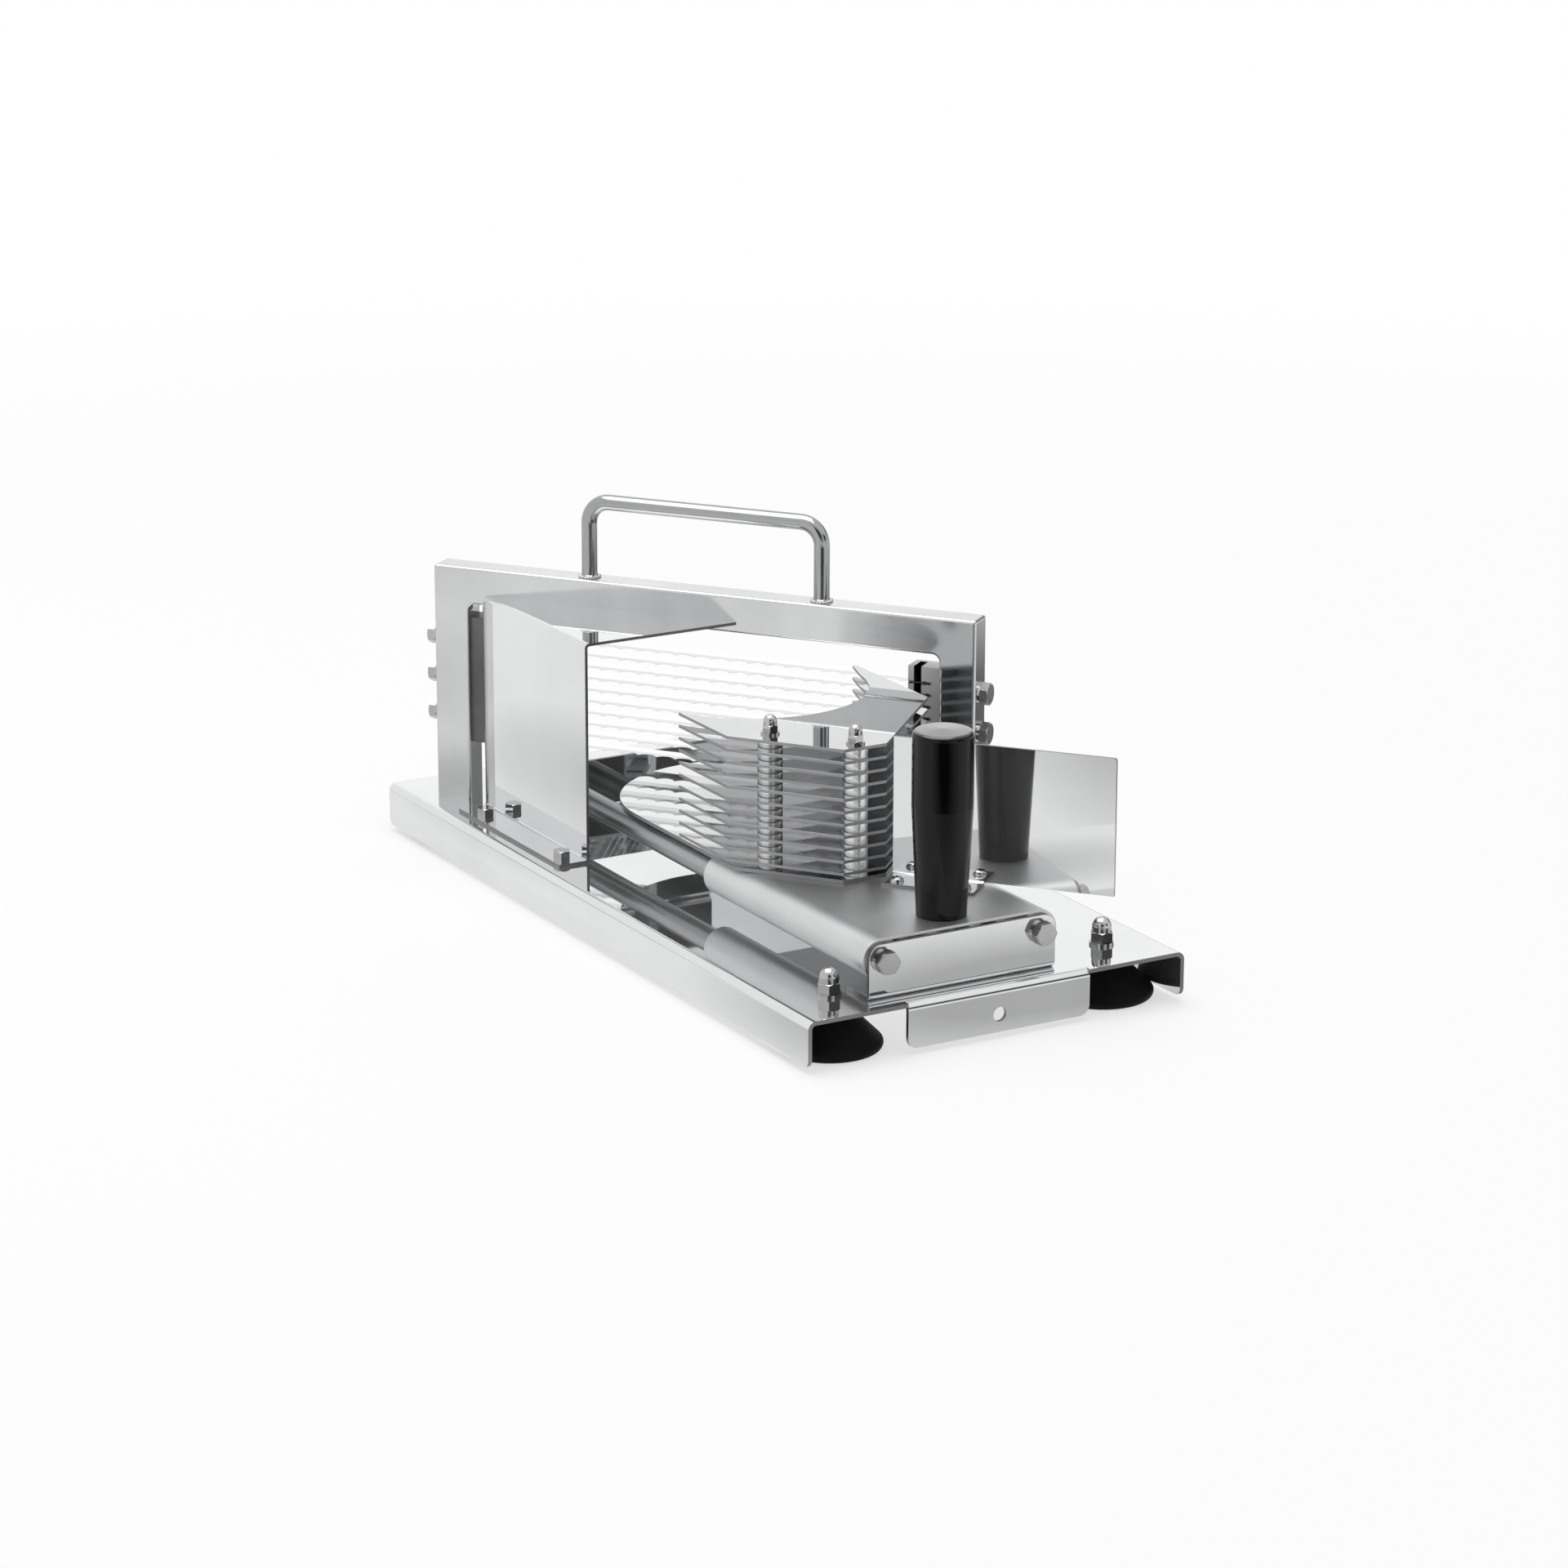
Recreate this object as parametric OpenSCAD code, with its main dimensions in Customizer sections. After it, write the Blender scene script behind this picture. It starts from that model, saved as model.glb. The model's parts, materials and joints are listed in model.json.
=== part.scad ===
// Tomato slicer: a sliding pusher of stacked plates carries a tomato through a slanted set of blades.
// Origin: middle of the base, on the surface that the feet stand on. X is width, Y runs rearwards, Z is up.

/* [Base] */
// Width of the base plate
base_w = 203; // [190:1:230]
// Length of the base plate
base_l = 430; // [410:1:470]
// Depth of the folded side flanges, from the top face
base_h = 22; // [18:0.5:28]
// Thickness of the base sheet
base_t = 2; // [1.5:0.1:2.5]
// Outer radius of the folds
base_fold = 4; // [3:0.1:6]
// Radius of the lower corners of the flanges
flange_corner = 4; // [2:0.5:8]
// Width of the front tab
tab_w = 98; // [70:1:120]
// Diameter of the hanging hole in the tab
tab_hole_d = 7; // [5:0.5:9]
// Drop of the hanging hole below the top face
tab_hole_drop = 13.5; // [10:0.5:15]

/* [Feet] */
// Radius of the suction cup rim
cup_r = 25; // [20:0.5:27]
// Radius of the neck of the cup
cup_neck_r = 9; // [7:0.5:11]
// Room between the floor and the flanges
foot_gap = 3; // [2:0.5:6]
// Clearance between the cup rim and the side flange
cup_clear = 0.5; // [0.3:0.1:3]
// Distance of the feet from the ends of the base
foot_inset = 28.5; // [27:0.5:40]

/* [Slide] */
// Place of the slide's centre line across the base
slide_x = -13.5; // [-18:0.5:-8]
// Distance of the two guide rods from the sides of a base that they were centred on
rod_margin = 59.5; // [55:0.5:64]
// Diameter of the guide rods
rod_d = 12; // [10:0.5:13]
// Height of the rod axes above the base
rod_z = 18.4; // [16:0.2:22]
// Radial running clearance of the bushes on the rods
rod_clear = 0.05; // [0.02:0.01:0.1]
// Reach of the rod brackets past the rod axes
bracket_edge = 8; // [7:0.5:10]
// Room between the brackets' upper edges and the carriage sheet's level
bracket_room = 0.4; // [0.3:0.1:3]
// Thickness of the bracket sheet
bracket_t = 2; // [1.5:0.1:3]
// Length of the bracket feet
bracket_foot = 20; // [12:1:26]
// Radius of the upper bracket corners
bracket_corner = 7; // [3:0.5:9]
// Distance of the front bracket from the front end
bracket_front = 10.6; // [9:0.2:14]
// Distance of the rear bracket from the rear end
bracket_rear = 95; // [85:1:105]

/* [Carriage] */
// Length of the carriage
carriage_l = 147.5; // [135:0.5:160]
// Thickness of the carriage sheet
carriage_t = 1.5; // [1:0.1:2]
// Outer radius of the rolled edges
roll_r = 10; // [9:0.2:11]
// Gap between the carriage and the front bracket at rest
carriage_gap = 0.4; // [0.3:0.1:2]
// Width of the slit where each rolled edge closes
roll_slit = 6; // [4:0.5:9]
// Length of each bush
bush_l = 22; // [12:1:30]

/* [Grip] */
// Height of the grip
grip_h = 88.5; // [75:0.5:100]
// Diameter at the top of the grip
grip_top_d = 28.5; // [24:0.5:32]
// Diameter at the foot of the grip
grip_foot_d = 23.5; // [20:0.5:26]
// Height at which the taper ends
grip_taper_h = 52; // [30:1:70]
// Radius of the shoulder
grip_shoulder = 2.5; // [2:0.5:6]
// Distance of the grip axis from the front of the carriage
grip_front = 17; // [16:0.5:24]
// Diameter of the stud in the grip
grip_stud_d = 8; // [6:0.5:10]

/* [Pusher] */
// Thickness of a slice
slice = 5.5; // [5:0.1:8]
// Thickness of a pusher plate
plate_t = 1.5; // [1:0.1:2]
// Thickness of the bed plate
bed_t = 2; // [1.5:0.1:2.5]
// Reach of the plates to the left of the slide's centre line
plate_left = 52.5; // [48:0.5:55]
// Reach of the plates to the right of the slide's centre line
plate_right = 64.5; // [60:0.5:66]
// Distance of the plates' front edge from the front of the carriage
plate_front = 77; // [70:0.5:82]
// Length of the plates' straight front edge
plate_nose = 23; // [15:0.5:30]
// Rise of the slanted front edge on the left
plate_slant = 47; // [40:0.5:52]
// Radius of the tomato pocket
pocket_r = 57.5; // [54:0.5:60]
// Distance of the pocket's centre behind the plates' front edge
pocket_y = 117; // [112:0.5:122]
// Reach of the right tip past the pocket's centre
tip_reach = 8; // [4:0.5:9]
// Width of the right tip
tip_w = 2; // [1:0.5:4]
// Radius of the bed plate's round end
bed_r = 62.7; // [60:0.1:64]
// Place of the bed plate's round end past the pocket's centre
bed_reach = 25; // [18:0.5:30]
// Reach of the bed plate to the left of the slide's centre line
bed_left = 50.2; // [48:0.1:52.5]
// Diameter of the spacers
spacer_d = 12; // [9:0.5:14]
// Diameter of the stack studs
stack_d = 4; // [3:0.5:5]
// Distance of the first stack stud along the slanted edge
stack_first = 17; // [13:0.5:20]
// Spacing of the stack studs
stack_span = 43; // [36:0.5:44]
// Distance of the stack studs from the slanted edge
stack_inset = 12; // [9:0.5:14]

/* [Hand guard] */
// Angle of the hand guard
hand_angle = -50; // [-54:0.5:-46]
// Length of the hand guard
hand_l = 108; // [90:1:110]
// Height of the hand guard
hand_h = 68; // [55:0.5:72]
// Thickness of the hand guard
hand_t = 1.5; // [1:0.1:2]
// Width of its foot
hand_foot = 18.4; // [15:0.2:22]
// Length of its foot
hand_foot_l = 45; // [35:1:46]
// Room between the hand guard and the plates' slanted right edge
hand_room = 3; // [2:0.1:5]
// Radius of its upper outer corner
hand_corner = 1.5; // [1:0.5:10]

/* [Blade frame] */
// Angle of the frame across the base
frame_angle = -52.5; // [-54:0.5:-51]
// Room between the blade holders and the top beam
frame_room = 7.4; // [6.2:0.2:18]
// Width of the tube's face
tube_w = 19; // [17:0.5:21]
// Depth of the tube
tube_d = 15; // [14:0.5:17]
// Wall of the tube
tube_t = 1.5; // [1:0.1:2]
// Distance of the frame from the left side of the base
frame_left = 7.7; // [6:0.1:10]
// Distance of the frame from the right side of the base
frame_right = 5.7; // [5:0.1:10]
// Distance of the frame's left end from the rear end
frame_rear = 40.8; // [38:0.2:50]
// Radius of the frame's inner corners
frame_fillet = 4; // [2:0.5:6]

/* [Carry handle] */
// Diameter of the handle rod
handle_d = 8; // [6:0.5:10]
// Distance between the handle's legs
handle_span = 125; // [90:1:150]
// Height of the handle above the frame
handle_h = 43; // [35:0.5:55]
// Radius of the handle's bends on the centre line
handle_bend = 11; // [8:0.5:16]

/* [Blades] */
// Thickness of a blade
blade_t = 0.5; // [0.4:0.05:0.8]
// Width of a blade
blade_w = 11; // [10:0.5:11.5]
// Length of one scallop
scallop = 10; // [8:0.5:14]
// Depth of the scallops
scallop_h = 2.7; // [1.5:0.1:2.8]
// Width of the blade holders
holder_w = 17; // [15:0.5:20]
// Depth of the blade holders
holder_d = 12; // [11.5:0.1:12.5]
// Distance of the blades from the front of the holders
blade_in = 0.5; // [0:0.1:1]
// Rise of the holders above the top blade
holder_over = 8; // [5:0.5:9]
// Drop of the holders below the lowest blade
holder_under = 3; // [2:0.2:4]
// Depth of the slots that take the blade ends
slot_l = 10; // [9:0.5:12]
// Height clearance of a blade in its slot
slot_clear = 0.1; // [0.05:0.05:0.3]
// Diameter of the blade pins
pin_d = 2.6; // [2:0.1:3]
// Distance of the blade pins from the holders' inner ends
pin_in = 5; // [4:0.5:6]
// Diameter of the tension bolts
tension_d = 6; // [5:0.5:6]
// Spacing of the tension bolts
tension_pitch = 20; // [18:0.5:22]
// Height of the lowest tension bolt above the base
tension_z = 47; // [45:0.5:50]

/* [Side guard] */
// Distance of the side guard's top below the top of the frame
side_drop = 13.2; // [9:0.2:16]
// Thickness of the side guard
side_t = 1.5; // [1:0.1:2]
// Width of its foot
side_foot = 15.2; // [13:0.2:16.5]
// Distance of its plate from the frame's left end, measured along the frame
side_s = 27.4; // [24:0.2:32]
// Length of its plate
side_l = 110; // [95:1:120]
// Distance of its bolts from the ends of the foot
side_bolt_in = 11.5; // [8:0.5:20]

/* [Fasteners] */
// Diameter of the rod bolts and the studs of the feet
m6 = 6; // [5:0.5:6]
// Width across flats of the larger hexagons
m6_af = 10; // [9:0.1:10]
// Height of the larger bolt heads
m6_head = 4; // [3:0.1:5]
// Thickness of the larger washers
m6_washer = 1.4; // [1:0.1:2]
// Diameter of the larger washers
m6_washer_d = 11.6; // [11.2:0.1:12]
// Diameter of the side guard bolts
m5 = 5; // [4:0.5:5]
// Width across flats of the side guard bolts
m5_af = 8; // [7:0.1:8.5]
// Height of the side guard bolt heads
m5_head = 3.5; // [3:0.1:4]
// Width across flats of the stack nuts
m4_af = 7; // [6.5:0.1:8]
// Thickness of the stack washers
m4_washer = 1; // [0.8:0.1:1.5]
// Diameter of the stack washers
m4_washer_d = 9; // [8.5:0.1:10]
// Radial clearance of a bolt in its hole
bolt_clear = 0.2; // [0.1:0.05:0.4]

/* [Hidden] */
$fn = 64;
eps = 1;
blade_count = 10;
plate_count = blade_count + 1;
function two(n) = n < 10 ? str("0", n) : str(n);
plate_names = [for (i = [1 : plate_count]) str("pusher_plate_", two(i))];
blade_names = [for (i = [1 : blade_count]) str("blade_", two(i))];
foot_names = ["foot_front_left", "foot_front_right", "foot_rear_left", "foot_rear_right"];

steel = [0.82, 0.83, 0.84];
satin = [0.70, 0.71, 0.72];
dark_steel = [0.50, 0.51, 0.52];
rubber = [0.03, 0.03, 0.03];
plastic = [0.05, 0.05, 0.05];
nylon = [0.88, 0.87, 0.83];

// Levels
base_top = base_h + foot_gap;
base_under = base_top - base_t;
carriage_top = base_top + rod_z + roll_r;
bed_top = carriage_top + bed_t;
pitch = slice + blade_t;
plate_room = (slice - plate_t) / 2;
function plate_z(i) = bed_top + plate_room + i * pitch;
function blade_z(i) = bed_top + slice + i * pitch;
stack_top = plate_z(plate_count - 1) + plate_t;

// Feet
foot_x = base_w / 2 - base_t - cup_clear - cup_r;
foot_y = base_l / 2 - foot_inset;
foot_places = [[-foot_x, -foot_y], [foot_x, -foot_y], [-foot_x, foot_y], [foot_x, foot_y]];
cup_lip = 3;
cup_slope = 45;
cup_arc_step = 15;
cup_hollow = 6;
cup_ring = 1.5;
cup_neck_h = 2.8;
stud_bottom = 10;
tab_corner = flange_corner + 1;
hex_bevel = 0.6;
cap_hex_ratio = 0.5;
cap_round_ratio = 0.46;
cap_dome_ratio = 0.7;
m6_cap_hex = cap_hex_ratio * m6_af;
m6_cap_dome = cap_dome_ratio * m6_af;
m4_cap_hex = cap_hex_ratio * m4_af;
m4_cap_dome = cap_dome_ratio * m4_af;
thread_end = 1.5;
m6_cap_thread = m6_cap_hex + thread_end;
m4_cap_thread = m4_cap_hex + thread_end;

// Slide
rod_span = base_w - 2 * rod_margin;
bracket_w = rod_span + 2 * bracket_edge;
rod_places = [slide_x - rod_span / 2, slide_x + rod_span / 2];
front_y = -base_l / 2 + bracket_front;
rod_front = front_y + bracket_t;
rod_rear = base_l / 2 - bracket_rear;
rod_thread_l = 14;
bracket_fold = bracket_t + 1;
bracket_h = rod_z + roll_r - carriage_t - bracket_room;
carriage_front = rod_front + carriage_gap;
bush_in = 1;

// Pusher outline, in plan
plate_y0 = carriage_front + plate_front;
left_x = slide_x - plate_left;
right_x = slide_x + plate_right;
slant_run = plate_slant / tan(-frame_angle);
nose_x0 = left_x + slant_run;
nose_x1 = nose_x0 + plate_nose;
right_y = plate_y0 + right_x - nose_x1;
pocket_c = [slide_x, plate_y0 + pocket_y];
tip_y = pocket_c.y + tip_reach;
arc_step = 4;
screw_arc_step = 15;
tip_angle = -10;
tip_in = [right_x - tip_w, tip_y];
tip_foot = pocket_c + pocket_r * [cos(tip_angle), sin(tip_angle)];
bed_x0 = slide_x - bed_left;
bed_c = [bed_x0 + bed_r, pocket_c.y + bed_reach];
slant_dir = [cos(frame_angle), sin(frame_angle)];
slant_in = [-slant_dir.y, slant_dir.x];
slant_start = [left_x, plate_y0 + plate_slant];
stack_places = [for (along = [stack_first, stack_first + stack_span])
    slant_start + slant_dir * along + slant_in * stack_inset];

// Hand guard, in plan
hand_start = [nose_x1 + hand_room * sqrt(2), plate_y0 + hand_t / 2];
hand_fold = hand_t + 1;
hand_screw_d = 4;
hand_screw_in = 6;
hand_screw_edge = 5;
hand_screw_head = 7;
hand_screw_h = 2.2;
hand_screw_l = 5;

// Grip
grip_c = [slide_x, carriage_front + grip_front];
grip_thread = 30;
grip_nut_af = grip_stud_d * 1.6;
grip_nut_h = 5;
grip_crown = 0.6;
grip_chamfer = 0.6;
shoulder_arc = 80;

// Blade frame: s runs along it from its left end, depth runs rearwards through it
frame_c = [-base_w / 2 + frame_left, base_l / 2 - frame_rear];
frame_l = (base_w - frame_left - frame_right + tube_d * sin(frame_angle)) / cos(frame_angle);
holder_front = tube_d - holder_d;
blade_front = holder_front + blade_in;
blade_s0 = tube_w + holder_w - slot_l;
blade_l = frame_l - 2 * blade_s0;
pin_s = [tube_w + holder_w - pin_in, frame_l - tube_w - holder_w + pin_in];
pin_depth = blade_front + blade_w / 2 + scallop_h / 2;
holder_z0 = blade_z(0) - holder_under;
holder_h = blade_z(blade_count - 1) + blade_t + holder_over - holder_z0;
frame_h = holder_z0 + holder_h - base_top + frame_room + tube_w;
tension_thread = 5;
pin_room = 0.4;
pin_over = 3;
pin_under = 1.5;
cusp = 0.6;
handle_s = [frame_l / 2 - handle_span / 2, frame_l / 2 + handle_span / 2];
weld_h = 1.6;
weld_w = 1.4;

// Side guard, in plan
side_x = frame_c.x + side_s * cos(frame_angle);
side_y1 = frame_c.y + side_s * sin(frame_angle);
side_y0 = side_y1 - side_l;
side_fold = side_t + 1;
side_h = frame_h - side_drop;
side_bolt_edge = 3.3;
side_rear_more = 4;
side_bolt_x = side_x - side_foot + m5_af / 2 + side_bolt_edge;
side_bolts = [for (y = [side_y0 + side_bolt_in, side_y1 - side_bolt_in - side_rear_more]) [side_bolt_x, y]];
side_nut_h = 4;

function arc(c, r, a0, a1, step = arc_step) =
    let (steps = ceil(abs(a1 - a0) / step))
    [for (i = [0 : steps]) let (a = a0 + (a1 - a0) * i / steps) c + r * [cos(a), sin(a)]];

// Outline with rounded upper corners that hangs from y = 0
module arch_outline(w, h, r) {
    translate([-w / 2, -h]) square([w, h - r]);
    translate([-w / 2 + r, -h]) square([w - 2 * r, h]);
    for (side = [-1, 1]) translate([side * (w / 2 - r), -r]) circle(r);
}

// Folded angle: one leg up, one leg out, with the outer corner of the fold at the origin
module angle_outline(up, out, t, r) {
    translate([0, r]) square([t, up - r]);
    translate([r, 0]) square([out - r, t]);
    translate([r, r]) intersection() {
        difference() {
            circle(r);
            circle(r - t);
        }
        translate([-r, -r]) square(r);
    }
}

module extrude_x(l) { rotate([90, 0, 90]) linear_extrude(l) children(); }
module extrude_back(l) { rotate([90, 0, 0]) translate([0, 0, -l]) linear_extrude(l) children(); }
module in_frame(s = 0, depth = 0, z = 0) {
    translate([frame_c.x, frame_c.y, base_top]) rotate([0, 0, frame_angle])
        translate([s, depth, z]) children();
}

// Hexagon with its upper corners turned off
module hexagon(af, h) {
    across = af / cos(30);
    bevel = (across - af) / 2;
    intersection() {
        cylinder(d = across, h = h, $fn = 6);
        rotate_extrude() polygon([[0, 0], [across / 2, 0], [across / 2, h - bevel * hex_bevel],
            [across / 2 - bevel, h], [0, h]]);
    }
}

module hex_bolt(d, af, head, l) {
    hexagon(af, head);
    translate([0, 0, -l]) cylinder(d = d, h = l + head / 2);
}

module ring(d_in, d_out, h) {
    difference() {
        cylinder(d = d_out, h = h);
        translate([0, 0, -eps]) cylinder(d = d_in, h = h + 2 * eps);
    }
}

module cap_nut(d, af, hex_h, dome_h, thread) {
    dome_r = af * cap_round_ratio;
    side = dome_h - dome_r;
    difference() {
        union() {
            hexagon(af, hex_h);
            cylinder(r = dome_r, h = hex_h + side);
            translate([0, 0, hex_h + side]) sphere(dome_r);
        }
        translate([0, 0, -eps]) cylinder(d = d, h = thread + eps);
    }
}

module folded_sheet() {
    intersection() {
        translate([0, -base_l / 2, base_top]) extrude_back(base_l) difference() {
            arch_outline(base_w, base_h, base_fold);
            translate([0, -base_t]) arch_outline(base_w - 2 * base_t, base_h, base_fold - base_t);
        }
        translate([-base_w, 0, base_top - base_h]) extrude_x(2 * base_w)
            mirror([0, 1]) arch_outline(base_l, base_h, flange_corner);
    }
}

module front_tab() {
    intersection() {
        difference() {
            translate([-tab_w / 2, -base_l / 2, base_top]) extrude_x(tab_w)
                mirror([0, 1]) angle_outline(base_h, 2 * base_fold, base_t, base_fold);
            translate([0, -base_l / 2 - eps, base_top - tab_hole_drop]) rotate([-90, 0, 0])
                cylinder(d = tab_hole_d, h = base_t + 2 * eps);
        }
        translate([0, -base_l / 2 - eps, base_top - base_h]) extrude_back(2 * base_fold + 2 * eps)
            mirror([0, 1]) arch_outline(tab_w, base_h, tab_corner);
    }
}

module base_plate() {
    color(steel) difference() {
        union() {
            difference() {
                folded_sheet();
                translate([-tab_w / 2, -base_l / 2 - eps, base_under - eps])
                    cube([tab_w, base_fold + eps, base_t + 2 * eps]);
            }
            front_tab();
        }
        for (p = foot_places)
            translate([p.x, p.y, base_under - eps]) cylinder(d = m6 + 2 * bolt_clear, h = base_t + 2 * eps);
        for (p = side_bolts)
            translate([p.x, p.y, base_under - eps]) cylinder(d = m5 + 2 * bolt_clear, h = base_t + 2 * eps);
    }
}

// Suction cup: a blunt cone with a round rim, hollow underneath, moulded round its stud
module foot(p) {
    color(rubber) translate([p.x, p.y, 0]) difference() {
        rotate_extrude() polygon(concat(
            [[0, cup_hollow], [cup_r - cup_lip - cup_ring, 0]],
            arc([cup_r - cup_lip, cup_lip], cup_lip, -90, cup_slope, cup_arc_step),
            [[cup_neck_r, base_under - cup_neck_h], [cup_neck_r, base_under], [0, base_under]]));
        translate([0, 0, stud_bottom]) cylinder(d = m6, h = base_under);
    }
}

module foot_studs() {
    stud_l = base_top + m6_washer + m6_cap_thread - stud_bottom;
    color(dark_steel) for (p = foot_places) translate([p.x, p.y, stud_bottom]) cylinder(d = m6, h = stud_l);
}

module foot_washers() {
    color(steel) for (p = foot_places) translate([p.x, p.y, base_top])
        ring(m6 + 2 * bolt_clear, m6_washer_d, m6_washer);
}

module foot_cap_nuts() {
    color(steel) for (p = foot_places) translate([p.x, p.y, base_top + m6_washer])
        cap_nut(m6, m6_af, m6_cap_hex, m6_cap_dome, m6_cap_thread);
}

// Rod bracket in its own place: the face looks forwards from y = 0, the foot runs rearwards
module rod_bracket() {
    color(steel) difference() {
        intersection() {
            translate([slide_x - bracket_w / 2, 0, base_top]) extrude_x(bracket_w)
                angle_outline(bracket_h, bracket_foot, bracket_t, bracket_fold);
            translate([slide_x, -eps, base_top + bracket_h]) extrude_back(bracket_foot + 2 * eps)
                arch_outline(bracket_w, bracket_h, bracket_corner);
        }
        for (x = rod_places) translate([x, -eps, base_top + rod_z]) rotate([-90, 0, 0])
            cylinder(d = m6 + 2 * bolt_clear, h = bracket_t + 2 * eps);
    }
}

module front_bracket() { translate([0, front_y, 0]) rod_bracket(); }
module rear_bracket() { translate([0, rod_rear, 0]) rod_bracket(); }

module guide_rod(x) {
    l = rod_rear - rod_front;
    color(dark_steel) translate([x, rod_front, base_top + rod_z]) rotate([-90, 0, 0]) difference() {
        cylinder(d = rod_d, h = l);
        translate([0, 0, -eps]) cylinder(d = m6, h = rod_thread_l + eps);
        translate([0, 0, l - rod_thread_l]) cylinder(d = m6, h = rod_thread_l + eps);
    }
}

// Places on the outer faces of the two brackets, looking outwards along +Z
module at_rod_ends() {
    for (x = rod_places) {
        translate([x, front_y, base_top + rod_z]) rotate([90, 0, 0]) children();
        translate([x, rod_rear + bracket_t, base_top + rod_z]) rotate([-90, 0, 0]) children();
    }
}

module rod_washers() { color(steel) at_rod_ends() ring(m6 + 2 * bolt_clear, m6_washer_d, m6_washer); }
module rod_bolts() {
    color(satin) at_rod_ends() translate([0, 0, m6_washer])
        hex_bolt(m6, m6_af, m6_head, m6_washer + bracket_t + rod_thread_l - thread_end);
}

module carriage() {
    color(satin) difference() {
        translate([0, carriage_front, base_top + rod_z]) extrude_back(carriage_l) difference() {
            union() {
                translate([rod_places[0], roll_r - carriage_t]) square([rod_span, carriage_t]);
                for (x = rod_places) translate([x, 0]) circle(roll_r);
            }
            for (x = rod_places) translate([x, 0]) circle(roll_r - carriage_t);
            for (side = [0, 1]) translate([rod_places[side] + (1 - 2 * side) * roll_r / 2, 0])
                translate([side * -roll_r, -roll_slit]) square([roll_r, roll_slit]);
        }
        translate([grip_c.x, grip_c.y, carriage_top - carriage_t - eps])
            cylinder(d = grip_stud_d + 2 * bolt_clear, h = carriage_t + 2 * eps);
        at_hand_screws() translate([0, 0, -carriage_t - eps])
            cylinder(d = hand_screw_d, h = carriage_t + 2 * eps);
    }
}

module carriage_bushes() {
    color(nylon) for (x = rod_places, y = [bush_in, carriage_l - bush_in - bush_l])
        translate([x, carriage_front + y, base_top + rod_z]) rotate([-90, 0, 0])
            ring(rod_d + 2 * rod_clear, 2 * (roll_r - carriage_t), bush_l);
}

module grip() {
    r0 = grip_foot_d / 2;
    r1 = grip_top_d / 2;
    color(plastic) translate([grip_c.x, grip_c.y, carriage_top]) difference() {
        rotate_extrude() polygon(concat(
            [[0, 0], [r0 - grip_chamfer, 0], [r0, grip_chamfer], [r1, grip_taper_h]],
            arc([r1 - grip_shoulder, grip_h - grip_crown - grip_shoulder], grip_shoulder, 0, shoulder_arc),
            [[0, grip_h]]));
        translate([0, 0, -eps]) cylinder(d = grip_stud_d, h = grip_thread + eps);
    }
}

module grip_stud() {
    below = carriage_t + grip_nut_h + thread_end;
    color(dark_steel) translate([grip_c.x, grip_c.y, carriage_top - below])
        cylinder(d = grip_stud_d, h = below + grip_thread);
}

module grip_nut() {
    color(steel) translate([grip_c.x, grip_c.y, carriage_top - carriage_t]) mirror([0, 0, 1]) difference() {
        hexagon(grip_nut_af, grip_nut_h);
        translate([0, 0, -eps]) cylinder(d = grip_stud_d, h = grip_nut_h + 2 * eps);
    }
}

// Front edges shared by the bed plate and the pusher plates, from the left side round to the right
function front_edges(x0) = [[x0, plate_y0 + plate_slant + (x0 - left_x) * tan(frame_angle)],
    [nose_x0, plate_y0], [nose_x1, plate_y0], [right_x, right_y]];

module bed_plate() {
    color(steel) translate([0, 0, carriage_top]) difference() {
        linear_extrude(bed_t) intersection() {
            union() {
                polygon(concat(front_edges(bed_x0), [[right_x, bed_c.y], [bed_x0, bed_c.y]]));
                translate(bed_c) circle(bed_r);
            }
            translate([bed_x0 - eps, plate_y0 - eps]) square([right_x - bed_x0 + eps, base_l]);
        }
        for (p = stack_places) translate([p.x, p.y, -eps]) cylinder(d = stack_d, h = bed_t + 2 * eps);
    }
}

module pusher_plate(i) {
    color(steel) translate([0, 0, plate_z(i)]) difference() {
        linear_extrude(plate_t) difference() {
            polygon(concat(front_edges(left_x), [[right_x, tip_y], tip_in, 2 * tip_foot - tip_in,
                pocket_c, [left_x, pocket_c.y]]));
            translate(pocket_c) circle(pocket_r, $fn = 128);
        }
        for (p = stack_places)
            translate([p.x, p.y, -eps]) cylinder(d = stack_d + 2 * bolt_clear, h = plate_t + 2 * eps);
    }
}

// Studs welded into the bed plate
module stack_studs() {
    l = stack_top + m4_washer + m4_cap_thread - carriage_top;
    color(satin) for (p = stack_places) translate([p.x, p.y, carriage_top]) cylinder(d = stack_d, h = l);
}

module stack_spacers() {
    color(steel) for (p = stack_places) {
        translate([p.x, p.y, bed_top]) ring(stack_d + 2 * bolt_clear, spacer_d, plate_room);
        for (i = [0 : plate_count - 2]) translate([p.x, p.y, plate_z(i) + plate_t])
            ring(stack_d + 2 * bolt_clear, spacer_d, pitch - plate_t);
    }
}

module stack_washers() {
    color(steel) for (p = stack_places) translate([p.x, p.y, stack_top])
        ring(stack_d + 2 * bolt_clear, m4_washer_d, m4_washer);
}

module stack_cap_nuts() {
    color(steel) for (p = stack_places) translate([p.x, p.y, stack_top + m4_washer])
        cap_nut(stack_d, m4_af, m4_cap_hex, m4_cap_dome, m4_cap_thread);
}

// Places of the hand guard's screws, on top of the carriage
module at_hand_screws() {
    in_hand_guard() for (x = [hand_screw_in, hand_foot_l - hand_screw_in])
        translate([x, hand_t - hand_foot + hand_screw_edge, 0]) children();
}

module in_hand_guard() {
    translate([hand_start.x, hand_start.y, carriage_top]) rotate([0, 0, hand_angle]) children();
}

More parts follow.
